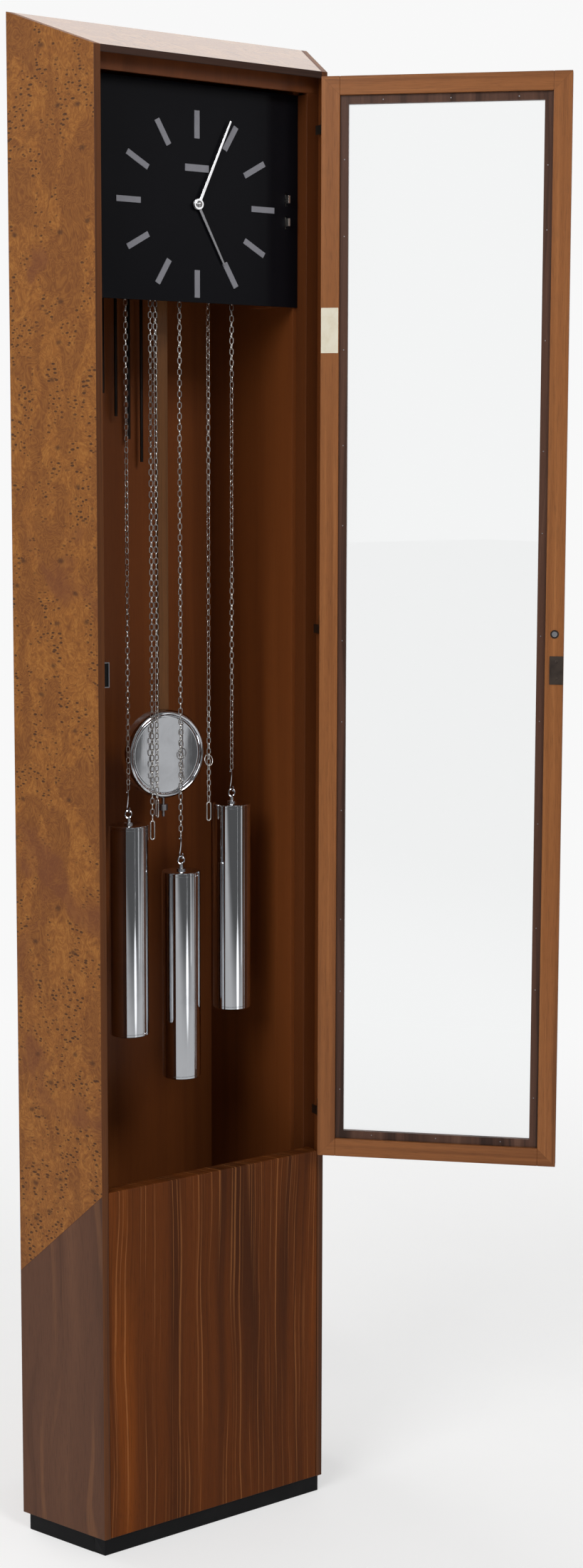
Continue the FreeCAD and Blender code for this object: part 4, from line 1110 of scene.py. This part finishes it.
@dataclass
class CaseShell:
    """Flared case front, carcass behind it, plinth and back."""

    bench: Bench
    back_screw_radius: float = 0.0035
    back_y: float = 0.132
    back_half_width: float = 0.150
    back_heights: tuple[float, ...] = (0.06, 0.52, 0.98, 1.44, 1.90)
    catch_low: Point = (-0.153, -0.1107, 1.143)
    catch_high: Point = (-0.144, -0.0967, 1.175)
    catch_wall: float = 0.0011

    def dress(self) -> None:
        """Veneers outside, stain inside and black paint on the plinth."""
        self.bench.dress(SIDE_VENEER, ("left_side_panel", "right_side_panel"), soften=0.0006)
        # The top's burl is lighter than the sides' burl: painted light from above.
        self.bench.dress(TOP_VENEER_PAINTED_LIGHT, ("top_panel",), soften=0.0006)
        self.bench.dress(ROSEWOOD, ("lower_front_panel", "sill_rail"), soften=0.0014)
        self.bench.dress(STAIN, ("carcass_sides", "carcass_top", "carcass_floor", "bottom_board",
                                 "flare_back_boards", "seat_board", "seat_cleats"), soften=0.0005)
        self.bench.dress(RECESS_SHADE_STAIN, ("door_stops", "dial_cheeks"), soften=0.0005)
        self.bench.dress(BACK_FINISH, ("back_panel",), soften=0.0005)
        self.bench.dress(PLINTH_BLACK, ("plinth_frame", "plinth_runner"), soften=0.0010)

    def catch(self) -> None:
        """Door catch: a bright cup that is open to the front, with a dark magnet in it."""
        (x0, y0, z0), (x1, y1, z1) = self.catch_low, self.catch_high
        wall, deep = self.catch_wall, self.catch_wall * 3.0
        cup = bmesh.new()
        loops = []
        for inset, y in ((0.0, y1), (0.0, y0), (wall, y0), (wall, y0 + deep)):
            left, right, low, high = x0 + inset, x1 - inset, z0 + inset, z1 - inset
            loops.append([cup.verts.new((x, y, z)) for x, z in ((left, low), (right, low), (right, high),
                                                               (left, high))])
        for first, second in zip(loops, loops[1:]):
            for index in range(4):
                after = (index + 1) % 4
                cup.faces.new((first[index], first[after], second[after], second[index]))
        cup.faces.new(loops[0])
        cup.faces.new(loops[-1])
        self.bench.piece("door_catch_dressed", cup, SATIN_STEEL, "case", "steel", ("door_catch",))
        magnet = bmesh.new()
        middle = Vector(((x0 + x1) / 2, y0 + deep * 0.7, (z0 + z1) / 2))
        size = (x1 - x0 - 2.2 * wall, deep * 0.6, z1 - z0 - 2.2 * wall, 1.0)
        bmesh.ops.create_cube(magnet, size=1.0, matrix=Matrix.Translation(middle) @ Matrix.Diagonal(size))
        self.bench.piece("catch_magnet", magnet, PLINTH_BLACK, "case", "steel")

    def back_screws(self) -> None:
        """Slotted screws that hold the back panel."""
        mesh = bmesh.new()
        for row, height in enumerate(self.back_heights):
            for side in (-1.0, 1.0):
                seat = Matrix.Translation((side * self.back_half_width, self.back_y, height))
                Shapes.slotted_screw(mesh, self.back_screw_radius, seat @ Matrix.Rotation(-math.pi / 2, 4, "X"),
                                     0.7 * row + side)
        self.bench.piece("back_panel_screws", mesh, BRASS, "case", "movement_brass")

    def build(self) -> None:
        """Dresses the case and adds its screws and the door's catch."""
        self.dress()
        self.back_screws()
        self.catch()


@dataclass
class GlazedDoor:
    """Door frame, glass and beads, hung open on the right."""

    bench: Bench
    hinge: Point = (0.1615, FRONT_Y - 0.003, 0.0)
    angle: float = math.radians(138.0)
    edge: float = 0.0015
    width: float = 0.3205
    low: float = 0.4935
    high: float = 1.9195
    front: float = 0.003
    thickness: float = 0.020
    stile: float = 0.024
    bead: float = 0.011
    bead_back: float = 0.019
    pin_radius: float = 0.0008
    pins_upright: int = 11
    pins_across: int = 3
    label_size: tuple[float, float] = (0.0225, 0.058)
    label_middle: float = 1.5975
    label_thickness: float = 0.00015
    label_corner: float = 0.0006
    keeper_middle: float = 1.159
    keeper_screw_rise: float = 0.011
    keeper_screw_inset: float = 0.009
    keeper_screw_radius: float = 0.0022
    keeper_thickness: float = 0.0008
    knob_middle: float = 1.206
    knob_screw_radius: float = 0.0036
    knob_screw_seat: float = 0.002
    knob_hole: float = 0.0055
    knob_hole_depth: float = 0.004

    def place(self, across: float, back: float, height: float) -> Matrix:
        """Frame on the door: Z points out of its inner face, and X towards the hinge.

        Args:
            across: distance from the hinged edge.
            back: distance behind the hinge line when shut.
            height: height above the floor.

        Returns:
            The place in the clock's frame, with the door open.
        """
        shut = Matrix.Translation((-self.edge - across, back, height)) @ Matrix.Rotation(-math.pi / 2, 4, "X")
        return Matrix.Translation(self.hinge) @ Matrix.Rotation(self.angle, 4, "Z") @ shut

    def dress(self) -> None:
        """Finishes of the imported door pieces."""
        mitred = MitredWood("door_frame_wood", DOOR_WOOD, self.hinge, self.angle, self.edge, self.width,
                            self.low, self.high)
        self.bench.dress(mitred, ("door_stiles", "door_rails"), soften=0.0007)
        self.bench.dress(BEAD_WOOD, ("glazing_beads",), soften=0.0012)
        self.bench.dress(GLASS, ("door_glass",))
        self.bench.dress(DARK_STEEL, ("case_hinge_leaves", "door_hinge_leaves"), soften=0.0001)
        self.bench.dress(KEEPER_STEEL, ("catch_keeper",), soften=0.0002)
        self.bench.dress(CHROME, ("door_knob",), soften=0.0004)

    def bead_pins(self) -> None:
        """Small pins that hold the glazing beads, at uneven steps as a joiner sets them."""
        mesh = bmesh.new()
        inset = self.stile + self.bead * 0.55
        inner, outer = inset, self.width - inset
        bottom, top = self.low + inset, self.high - inset
        spots = []
        for index in range(self.pins_upright):
            share = (index + 0.5 + 0.12 * math.sin(2.3 * index)) / self.pins_upright
            height = bottom + (top - bottom) * share
            spots += [(inner, height), (outer, height + 0.012 * math.sin(1.7 * index))]
        for index in range(self.pins_across):
            across = inner + (outer - inner) * (index + 0.5) / self.pins_across
            spots += [(across, bottom), (across + 0.006, top)]
        head = self.pin_radius
        for across, height in spots:
            Shapes.lathe(mesh, [(0.0, 0.0), (head, 0.0), (head * 0.8, head * 0.35), (0.0, head * 0.5)],
                         self.place(across, self.bead_back, height), 10)
        self.bench.piece("glazing_bead_pins", mesh, SATIN_STEEL, "door", "steel")

    def paper_label(self) -> None:
        """Bare paper label on the hinge stile."""
        mesh = bmesh.new()
        seat = self.place(self.stile / 2, self.front + self.thickness, self.label_middle)
        Shapes.plate(mesh, *self.label_size, self.label_thickness, self.label_corner,
                     seat @ Matrix.Rotation(-math.pi / 2, 4, "X"))
        self.bench.piece("bare_label", mesh, PAPER, "door", "door_wood")

    def keeper_screws(self) -> None:
        """Two slotted screws in the catch plate."""
        mesh = bmesh.new()
        across = self.width - self.keeper_screw_inset
        back = self.front + self.thickness + self.keeper_thickness
        for index, side in enumerate((-1.0, 1.0)):
            seat = self.place(across, back, self.keeper_middle + side * self.keeper_screw_rise)
            Shapes.slotted_screw(mesh, self.keeper_screw_radius, seat, 0.4 + 1.3 * index, 0.06)
        self.bench.piece("keeper_screws", mesh, KEEPER_STEEL, "door", "steel")

    def knob_screw(self) -> None:
        """Slotted head of the knob's screw, deep in a hole on the inside of the door, with a dark steel ring in
        the hole as painted shade of the recess.
        """
        across = self.width - self.stile / 2
        floor = self.front + self.thickness - self.knob_hole_depth
        head = bmesh.new()
        seat = self.place(across, floor + self.knob_screw_seat, self.knob_middle)
        Shapes.slotted_screw(head, self.knob_screw_radius, seat, 0.6)
        self.bench.piece("knob_screw_head", head, SATIN_STEEL, "door", "steel")
        # Dark steel ring lining the hole: painted shade of the recess around the screw head.
        hole_shade_ring = bmesh.new()
        outer, inner, deep = self.knob_hole - 0.0001, self.knob_hole - 0.0008, self.knob_hole_depth
        Shapes.lathe(hole_shade_ring, [(outer, 0.0), (outer, deep), (inner, deep), (inner, 0.0), (outer, 0.0)],
                     self.place(across, floor, self.knob_middle), 32)
        bmesh.ops.remove_doubles(hole_shade_ring, verts=hole_shade_ring.verts, dist=Bench.joined)
        self.bench.piece("knob_hole_painted_shade", hole_shade_ring, KEEPER_STEEL, "door", "steel")

    def build(self) -> None:
        """Dresses the door and adds its pins, label and screws."""
        self.dress()
        self.bead_pins()
        self.paper_label()
        self.keeper_screws()
        self.knob_screw()


@dataclass
class DialAndMovement:
    """Dial, hands, levers and the movement behind the dial."""

    bench: Bench
    centre: tuple[float, float] = (0.0, 1.7545)
    nut_radius: float = 0.0042

    def dress(self) -> None:
        """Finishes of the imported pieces."""
        self.bench.dress(DIAL_BLACK, ("dial_panel",), soften=0.0004)
        self.bench.dress(MARKER_GREY, ("dial_markers",), soften=0.0003)
        self.bench.dress(HAND_CHROME, ("minute_hand",), soften=0.0004)
        self.bench.dress(SATIN_STEEL, ("hour_hand",), soften=0.0004)
        self.bench.dress(NICKEL, ("upper_chime_lever", "lower_chime_lever"), soften=0.0003)
        self.bench.dress(BRASS, ("movement_plates", "movement_pillars", "motion_stud", "centre_arbor",
                                 "minute_wheel", "hour_wheel", "chain_wheel_left", "chain_wheel_centre",
                                 "chain_wheel_right", "suspension_cock"), soften=0.0001)
        self.bench.dress(IRON, ("chime_block", "chime_rods"), soften=0.0003)

    def hand_nut(self) -> None:
        """Domed nut that holds the minute hand on its arbor."""
        mesh = bmesh.new()
        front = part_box("minute_hand")[0].y
        middle = Matrix.Translation((self.centre[0], front, self.centre[1]))
        radius = self.nut_radius
        profile = [(0.0, 0.0), (radius, 0.0), (radius, 0.0012), (radius * 0.92, 0.0016),
                   (radius * 0.62, 0.0018), (radius * 0.56, 0.0030), (radius * 0.40, 0.0036), (0.0, 0.0038)]
        Shapes.lathe(mesh, profile, middle @ Matrix.Rotation(math.pi / 2, 4, "X"), 32)
        self.bench.piece("hand_nut", mesh, HAND_CHROME, "minute_hand", "hand_chrome")

    def build(self) -> None:
        """Dresses dial and movement and adds the nut of the hands."""
        self.dress()
        self.hand_nut()


class Strand(Enum):
    """A chain: its word, X of its weight's run and of its free run, bottoms of weight and long link."""

    LEFT = ("left", -0.080, -0.0436, 0.670, 0.928)
    CENTRE = ("centre", 0.0, -0.0364, 0.601, 0.957)
    RIGHT = ("right", 0.080, 0.0436, 0.686, 0.946)


@dataclass
class ChainDrive:
    """Three chains, each with its weight and the long link on its free end."""

    bench: Bench
    y: float = FRONT_Y + 0.090
    wheel_z: float = 1.692
    pitch: float = 0.0072
    link_length: float = 0.0085
    link_width: float = 0.0047
    wire: float = 0.00068
    weight_radius: float = 0.026
    weight_length: float = 0.282
    weight_groove: float = 0.0003
    eye_rise: float = 0.0142
    eye_radius: float = 0.0048
    eye_wire: float = 0.0014
    hook_top: float = 0.328
    hook_low: float = 0.0160
    hook_bow: float = 0.0042
    hook_wire: float = 0.0010
    end_length: float = 0.027
    end_width: float = 0.008
    end_wire: float = 0.0010
    ring_height: float = 1.029
    ring_reach: Point = (0.0060, 0.0022, 0.0072)
    ring_wire: float = 0.0006
    sway: float = 0.35
    sway_step: float = 0.11

    def chain(self, name: str, x: float, low: float, twist: float, node: str) -> None:
        """Chain of real links from the wheel down to its end.

        Args:
            name: the new piece's name.
            x: place of the run.
            low: height of its lower end.
            twist: angle of the first link.
            node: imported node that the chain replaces.
        """
        mesh = bmesh.new()
        count = round((self.wheel_z - low) / self.pitch)
        step = (self.wheel_z - low) / count
        for index in range(count):
            angle = twist + index * math.pi / 2 + self.sway * math.sin(self.sway_step * index + 9.0 * twist)
            across = Vector((math.cos(angle), math.sin(angle), 0.0))
            middle = Vector((x, self.y, low + step * (index + 0.5)))
            path = Shapes.oval(middle, self.link_length, self.link_width, across)
            Shapes.wire(mesh, path, self.wire, True, 6)
        made = self.bench.piece(name, mesh, NICKEL, None, "chain_nickel", (node,), 60.0)
        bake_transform(made)

    def weight(self, word: str, x: float, bottom: float) -> None:
        """Polished tube with turned caps, an eye on top and the hook that the chain hangs it by.

        Args:
            word: the train's word in the names.
            x: place of the weight.
            bottom: height of its foot.
        """
        mesh = bmesh.new()
        seat = Matrix.Translation((x, self.y, bottom))
        radius, top, groove = self.weight_radius, self.weight_length, self.weight_radius - self.weight_groove
        tube = [(0.0, 0.0), (radius - 0.0022, 0.0), (radius - 0.0008, 0.0004), (radius, 0.0014),
                (radius, 0.0040), (groove, 0.0043), (groove, 0.0046), (radius, 0.0049), (radius, top - 0.0049),
                (groove, top - 0.0046), (groove, top - 0.0043), (radius, top - 0.0040), (radius, top - 0.0012),
                (radius - 0.0006, top - 0.0003), (radius - 0.0018, top), (0.0, top)]
        Shapes.lathe(mesh, tube, seat, 96)
        collar = [(0.0, top - 0.0004), (0.0062, top - 0.0004), (0.0062, top + 0.0026), (0.0050, top + 0.0034),
                  (0.0034, top + 0.0036), (0.0028, top + 0.0085), (0.0, top + 0.0092)]
        Shapes.lathe(mesh, collar, seat, 24)
        eye = Vector((x, self.y, bottom + top + self.eye_rise))
        Shapes.wire(mesh, Shapes.ellipse(eye, (self.eye_radius, 0.0, self.eye_radius), 20), self.eye_wire, True)
        low, high = bottom + top + self.hook_low, bottom + self.hook_top
        hook = []
        for index in range(13):
            angle = -2.3 + 3.9 * index / 12
            hook.append((self.hook_bow * math.sin(angle), low + self.hook_bow * (1.0 - math.cos(angle))))
        for share in (0.0, 0.3, 0.6, 0.85, 1.0):
            hook.append((0.0040 * (1.0 - share) ** 2, low + 0.0055 + share * (high - low - 0.0095)))
        for index in range(1, 8):
            angle = math.pi * index / 7
            hook.append((0.0022 - 0.0022 * math.cos(angle), high - 0.0040 + 0.0030 * math.sin(angle)))
        Shapes.wire(mesh, [Vector((x, self.y + back, height)) for back, height in hook], self.hook_wire, False)
        name = f"weight_{word}"
        self.bench.piece(f"{name}_dressed", mesh, CHROME, name, "weight_chrome", (name,), 30.0)

    def end_link(self, word: str, x: float, bottom: float, sideways: bool) -> None:
        """Long flat-sided link on the free end of a chain.

        Args:
            word: the train's word in the names.
            x: place of the run.
            bottom: height of the link's foot.
            sideways: whether the link stands edge on to the front.
        """
        mesh = bmesh.new()
        across = Vector((0.0, 1.0, 0.0)) if sideways else Vector((1.0, 0.0, 0.0))
        middle = Vector((x, self.y, bottom + self.end_length / 2))
        wire = self.end_wire
        path = Shapes.oval(middle, self.end_length - 2 * wire, self.end_width - 2 * wire, across, 8)
        Shapes.wire(mesh, path, wire, True, 10)
        name = f"end_link_{word}"
        self.bench.piece(f"{name}_dressed", mesh, NICKEL, name, "chain_nickel", (name,), 60.0)

    def split_ring(self) -> None:
        """Small ring through a link of the right chain's free run."""
        mesh = bmesh.new()
        word, _, x, _, bottom = Strand.RIGHT.value
        middle = Vector((x, self.y, self.ring_height))
        Shapes.wire(mesh, Shapes.ellipse(middle, self.ring_reach, 28), self.ring_wire, True)
        made = self.bench.piece("split_ring", mesh, NICKEL, None, "chain_nickel", (), 60.0)
        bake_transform(made)

    def build(self) -> None:
        """Makes every chain, weight, long link and the ring."""
        for turn, strand in enumerate(Strand):
            word, loaded, free, weight_low, end_low = strand.value
            self.weight(word, loaded, weight_low)
            self.end_link(word, free, end_low, strand is Strand.CENTRE)
            self.chain(f"weight_chain_{word}_links", loaded, weight_low + self.hook_top,
                       0.6 + 0.5 * turn, f"weight_chain_{word}")
            self.chain(f"free_chain_{word}_links", free, end_low + self.end_length,
                       1.0 + 0.4 * turn, f"free_chain_{word}")
        self.split_ring()


@dataclass
class Pendulum:
    """Wooden lath with a polished disc, hung from its spring."""

    bench: Bench
    y: float = FRONT_Y + 0.137
    bob_z: float = 1.036
    radius: float = 0.060
    half_depth: float = 0.013

    def bob(self) -> None:
        """Polished disc: rounded rim, then a shallow dish in front and a plain back."""
        mesh = bmesh.new()
        seat = Matrix.Translation((0.0, self.y, self.bob_z)) @ Matrix.Rotation(math.pi / 2, 4, "X")
        radius, deep = self.radius, self.half_depth
        dish = [((radius - 0.0086) * (1.0 - share), deep - 0.0034 - 0.0016 * (1.0 - (1.0 - share) ** 2))
                for share in (index / 16 for index in range(17))]
        front = [(radius, deep - 0.0064), (radius - 0.0005, deep - 0.0038), (radius - 0.0018, deep - 0.0015),
                 (radius - 0.0034, deep - 0.0003), (radius - 0.0048, deep), (radius - 0.0062, deep - 0.0006),
                 (radius - 0.0074, deep - 0.0019), (radius - 0.0082, deep - 0.0036)]
        back = [(0.0, -deep), (radius - 0.012, -deep), (radius - 0.004, -deep + 0.002), (radius, -deep + 0.006)]
        Shapes.lathe(mesh, back + front + dish[:-1] + [(0.0, dish[-1][1])], seat, 128)
        self.bench.piece("pendulum_bob_dressed", mesh, CHROME, "pendulum", "weight_chrome", ("pendulum_bob",),
                         32.0)

    def build(self) -> None:
        """Dresses the lath and spring and makes the disc."""
        self.bench.dress(LATH_WOOD, ("pendulum_rod",), soften=0.0006)
        self.bench.dress(SATIN_STEEL, ("suspension_spring", "rating_nut"))
        self.bob()


@dataclass(frozen=True)
class Lamp:
    """One area lamp aimed at the clock."""

    name: str
    at: Point
    width: float
    height: float
    power: float
    aim: Point = (0.0, 0.0, 1.0)

    def light(self) -> None:
        """Adds the lamp to the scene, unseen by the camera itself."""
        data = bpy.data.lights.new(self.name, "AREA")
        data.shape = "RECTANGLE"
        data.size = self.width
        data.size_y = self.height
        data.energy = self.power
        made = bpy.data.objects.new(self.name, data)
        made.location = self.at
        made.rotation_euler = (Vector(self.aim) - Vector(self.at)).to_track_quat("-Z", "Y").to_euler()
        made.visible_camera = False
        bpy.context.scene.collection.objects.link(made)


@dataclass
class Studio:
    """Pale floor, plain soft light and the camera."""

    camera_at: Point = (-1.42998, FRONT_Y - 2.35245, 1.416)
    yaw: float = math.radians(33.34)
    pitch: float = math.radians(6.38)
    roll: float = math.radians(0.15)
    focal_pixels: float = 3001.69
    frame_pixels: tuple[float, float] = (819.0, 2203.0)
    principal_y: float = 997.4
    air: float = 0.42
    shown_lift: float = 0.52
    backdrop_lift: float = 0.92
    room_lift: float = -0.30
    upright_lift: float = 0.22
    floor_size: float = 30.0
    paper: Colour = (0.92, 0.915, 0.91)
    mottle_tone: Colour = (0.80, 0.79, 0.78)
    mottle_share: float = 0.12
    floor_glow: float = 0.94
    near_dim: float = 0.40
    far_dim: float = 0.44
    far_from: tuple[float, float] = (2.2, 3.8)
    fade: tuple[float, float] = (0.4, 2.6)
    pool_at: tuple[float, float] = (0.32, 3.2)
    pool_reach: tuple[float, float] = (0.50, 0.80)
    pool_light: float = 1.4
    lamps: tuple[Lamp, ...] = (
        Lamp("key_lamp", (-3.6, -1.7, 3.4), 2.4, 2.4, 100.0),
        Lamp("fill_lamp", (0.3, -4.4, 3.9), 1.4, 1.4, 92.0),
        Lamp("rim_lamp", (-1.0, 2.6, 3.2), 2.0, 2.0, 40.0),
        Lamp("mirrored_card", (1.58, -2.70, 0.75), 0.40, 1.4, 0.80),
        Lamp("mirrored_sheet", (1.60, -2.70, 2.20), 0.40, 0.8, 1.2),
        Lamp("mirrored_line", (0.16, -1.65, 0.90), 0.014, 0.9, 0.05, (0.0, 0.0, 0.8)))

    def camera(self) -> None:
        """Camera at the photograph's place, with its framing."""
        data = bpy.data.cameras.new("photograph_view")
        data.sensor_width = 36.0
        data.lens = self.focal_pixels * data.sensor_width / self.frame_pixels[1]
        data.shift_y = (self.principal_y - self.frame_pixels[1] / 2) / self.frame_pixels[1]
        made = bpy.data.objects.new("photograph_view", data)
        turn = (Matrix.Rotation(-self.yaw, 4, "Z") @ Matrix.Rotation(math.pi / 2 - self.pitch, 4, "X")
                @ Matrix.Rotation(self.roll, 4, "Z"))
        made.matrix_world = Matrix.Translation(self.camera_at) @ turn
        bpy.context.scene.collection.objects.link(made)
        bpy.context.scene.camera = made

    def lights(self) -> None:
        """Large soft lamps, and weak ones that show in the polished metal."""
        for lamp in self.lamps:
            lamp.light()

    @staticmethod
    def seen(wire: Wiring) -> Socket:
        """1 for rays that show the background: from the camera, in metal or through glass.

        Args:
            wire: wiring in the tree that asks.

        Returns:
            The mask's socket.
        """
        path = wire.node("ShaderNodeLightPath").outputs
        bent = wire.math("MAXIMUM", path["Is Glossy Ray"], path["Is Transmission Ray"])
        return wire.math("MAXIMUM", path["Is Camera Ray"], bent)

    def world(self) -> None:
        """Even grey light, shown as a pale background and, in metal, as a room with dark and light uprights."""
        made = bpy.data.worlds.new("studio_air")
        made.use_nodes = True
        wire = Wiring(made.node_tree)
        behind = made.node_tree.nodes["Background"]
        wire.fill(behind.inputs["Color"], WHITE)
        path = wire.node("ShaderNodeLightPath").outputs
        shown = wire.math("MAXIMUM", path["Is Camera Ray"], path["Is Transmission Ray"])
        towards = wire.axes(wire.node("ShaderNodeTexCoord").outputs["Generated"])
        mirrored = wire.math("GREATER_THAN", path["Is Glossy Ray"], shown)
        backdrop = wire.times(mirrored, wire.step(towards[1], -0.35, 0.35))
        around = wire.math("ARCTAN2", towards[0], wire.times(towards[1], -1.0))
        wide = wire.math("SINE", wire.math("MULTIPLY_ADD", around, 9.0, 1.0))
        narrow = wire.math("SINE", wire.math("MULTIPLY_ADD", around, 23.0, 2.0))
        uprights = wire.step(wire.math("MULTIPLY_ADD", narrow, 0.6, wide), 0.0, 0.35)
        room = wire.math("MULTIPLY_ADD", uprights, self.upright_lift, self.room_lift)
        pale = wire.math("MAXIMUM", wire.times(shown, self.shown_lift),
                         wire.times(backdrop, self.backdrop_lift))
        lift = wire.math("ADD", pale, wire.times(mirrored, room))
        wire.fill(behind.inputs["Strength"], wire.math("ADD", self.air, lift))
        bpy.context.scene.world = made

    def floor_glare(self, wire: Wiring, at: Socket) -> Socket:
        """Brightness of the shown floor; in metal it is dim before the clock, apart from a soft light pool.

        Args:
            wire: wiring in the floor's material.
            at: place on the floor, in metres.

        Returns:
            The emission strength's socket.
        """
        x, y, _ = wire.axes(at)
        ahead = wire.times(y, -1.0)
        mirrored = wire.node("ShaderNodeLightPath").outputs["Is Glossy Ray"]
        in_front = wire.times(mirrored, wire.step(ahead, -0.8, 0.4))
        aside = wire.math("DIVIDE", wire.math("SUBTRACT", x, self.pool_at[0]), self.pool_reach[0])
        beyond = wire.math("DIVIDE", wire.math("SUBTRACT", ahead, self.pool_at[1]), self.pool_reach[1])
        spread = wire.math("MULTIPLY_ADD", aside, aside, wire.times(beyond, beyond))
        pool = wire.rest(wire.step(spread, 0.2, 1.0))
        dimmed = wire.math("ADD", self.near_dim, wire.times(wire.step(ahead, *self.far_from), self.far_dim))
        dimmed = wire.math("SUBTRACT", dimmed, wire.times(pool, self.pool_light))
        return wire.math("SUBTRACT", self.floor_glow, wire.times(in_front, dimmed))

    def floor_finish(self) -> bpy.types.Material:
        """Pale mottled floor near the clock that fades into the background where it is shown.

        Returns:
            The floor's material.
        """
        made = bpy.data.materials.new("pale_floor")
        made.use_nodes = True
        wire = Wiring(made.node_tree)
        shader = made.node_tree.nodes["Principled BSDF"]
        at = wire.node("ShaderNodeTexCoord").outputs["Object"]
        mottle = wire.step(wire.noise(wire.scaled(at, (5.0, 5.0, 5.0)), 5.0, 0.6), 0.35, 0.75)
        colour = wire.mix(wire.times(mottle, self.mottle_share), self.paper, self.mottle_tone)
        wire.set(shader, Base_Color=colour, Roughness=0.8)
        glow = wire.node("ShaderNodeEmission", Color=WHITE, Strength=self.floor_glare(wire, at))
        away = wire.node("ShaderNodeVectorMath")
        away.operation = "LENGTH"
        wire.fill(away.inputs[0], at)
        distant = wire.math("ADD", 0.5, wire.times(wire.step(away.outputs["Value"], *self.fade), 0.5))
        both = wire.node("ShaderNodeMixShader", Fac=wire.times(distant, self.seen(wire)))
        wire.fill(both.inputs[1], shader.outputs[0])
        wire.fill(both.inputs[2], glow.outputs[0])
        wire.fill(made.node_tree.nodes["Material Output"].inputs["Surface"], both.outputs[0])
        return made

    def floor(self) -> None:
        """Adds the wide floor under the clock."""
        mesh = bmesh.new()
        bmesh.ops.create_grid(mesh, x_segments=8, y_segments=8, size=self.floor_size)
        data = bpy.data.meshes.new("studio_floor")
        mesh.to_mesh(data)
        mesh.free()
        made = bpy.data.objects.new("studio_floor", data)
        bpy.context.scene.collection.objects.link(made)
        data.materials.append(self.floor_finish())
        made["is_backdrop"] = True

    def build(self) -> None:
        """Sets up camera, light and floor."""
        self.camera()
        self.lights()
        self.world()
        self.floor()
        bpy.context.scene.view_settings.view_transform = "Standard"


def corners() -> list[list[float]]:
    """Lowest and highest corner of the shown clock as plain numbers."""
    return [list(corner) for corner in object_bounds()]


def main() -> None:
    """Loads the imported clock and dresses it."""
    logging.basicConfig(level=logging.INFO, format="%(name)s: %(message)s")
    bpy.ops.wm.read_factory_settings(use_empty=True)
    bench = Bench(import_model())
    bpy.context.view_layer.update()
    parts = (CaseShell(bench), GlazedDoor(bench), DialAndMovement(bench), ChainDrive(bench), Pendulum(bench))
    for part in parts:
        part.build()
        log.info("%s built", type(part).__name__)
    Studio().build()
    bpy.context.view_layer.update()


if __name__ == "__main__":
    main()
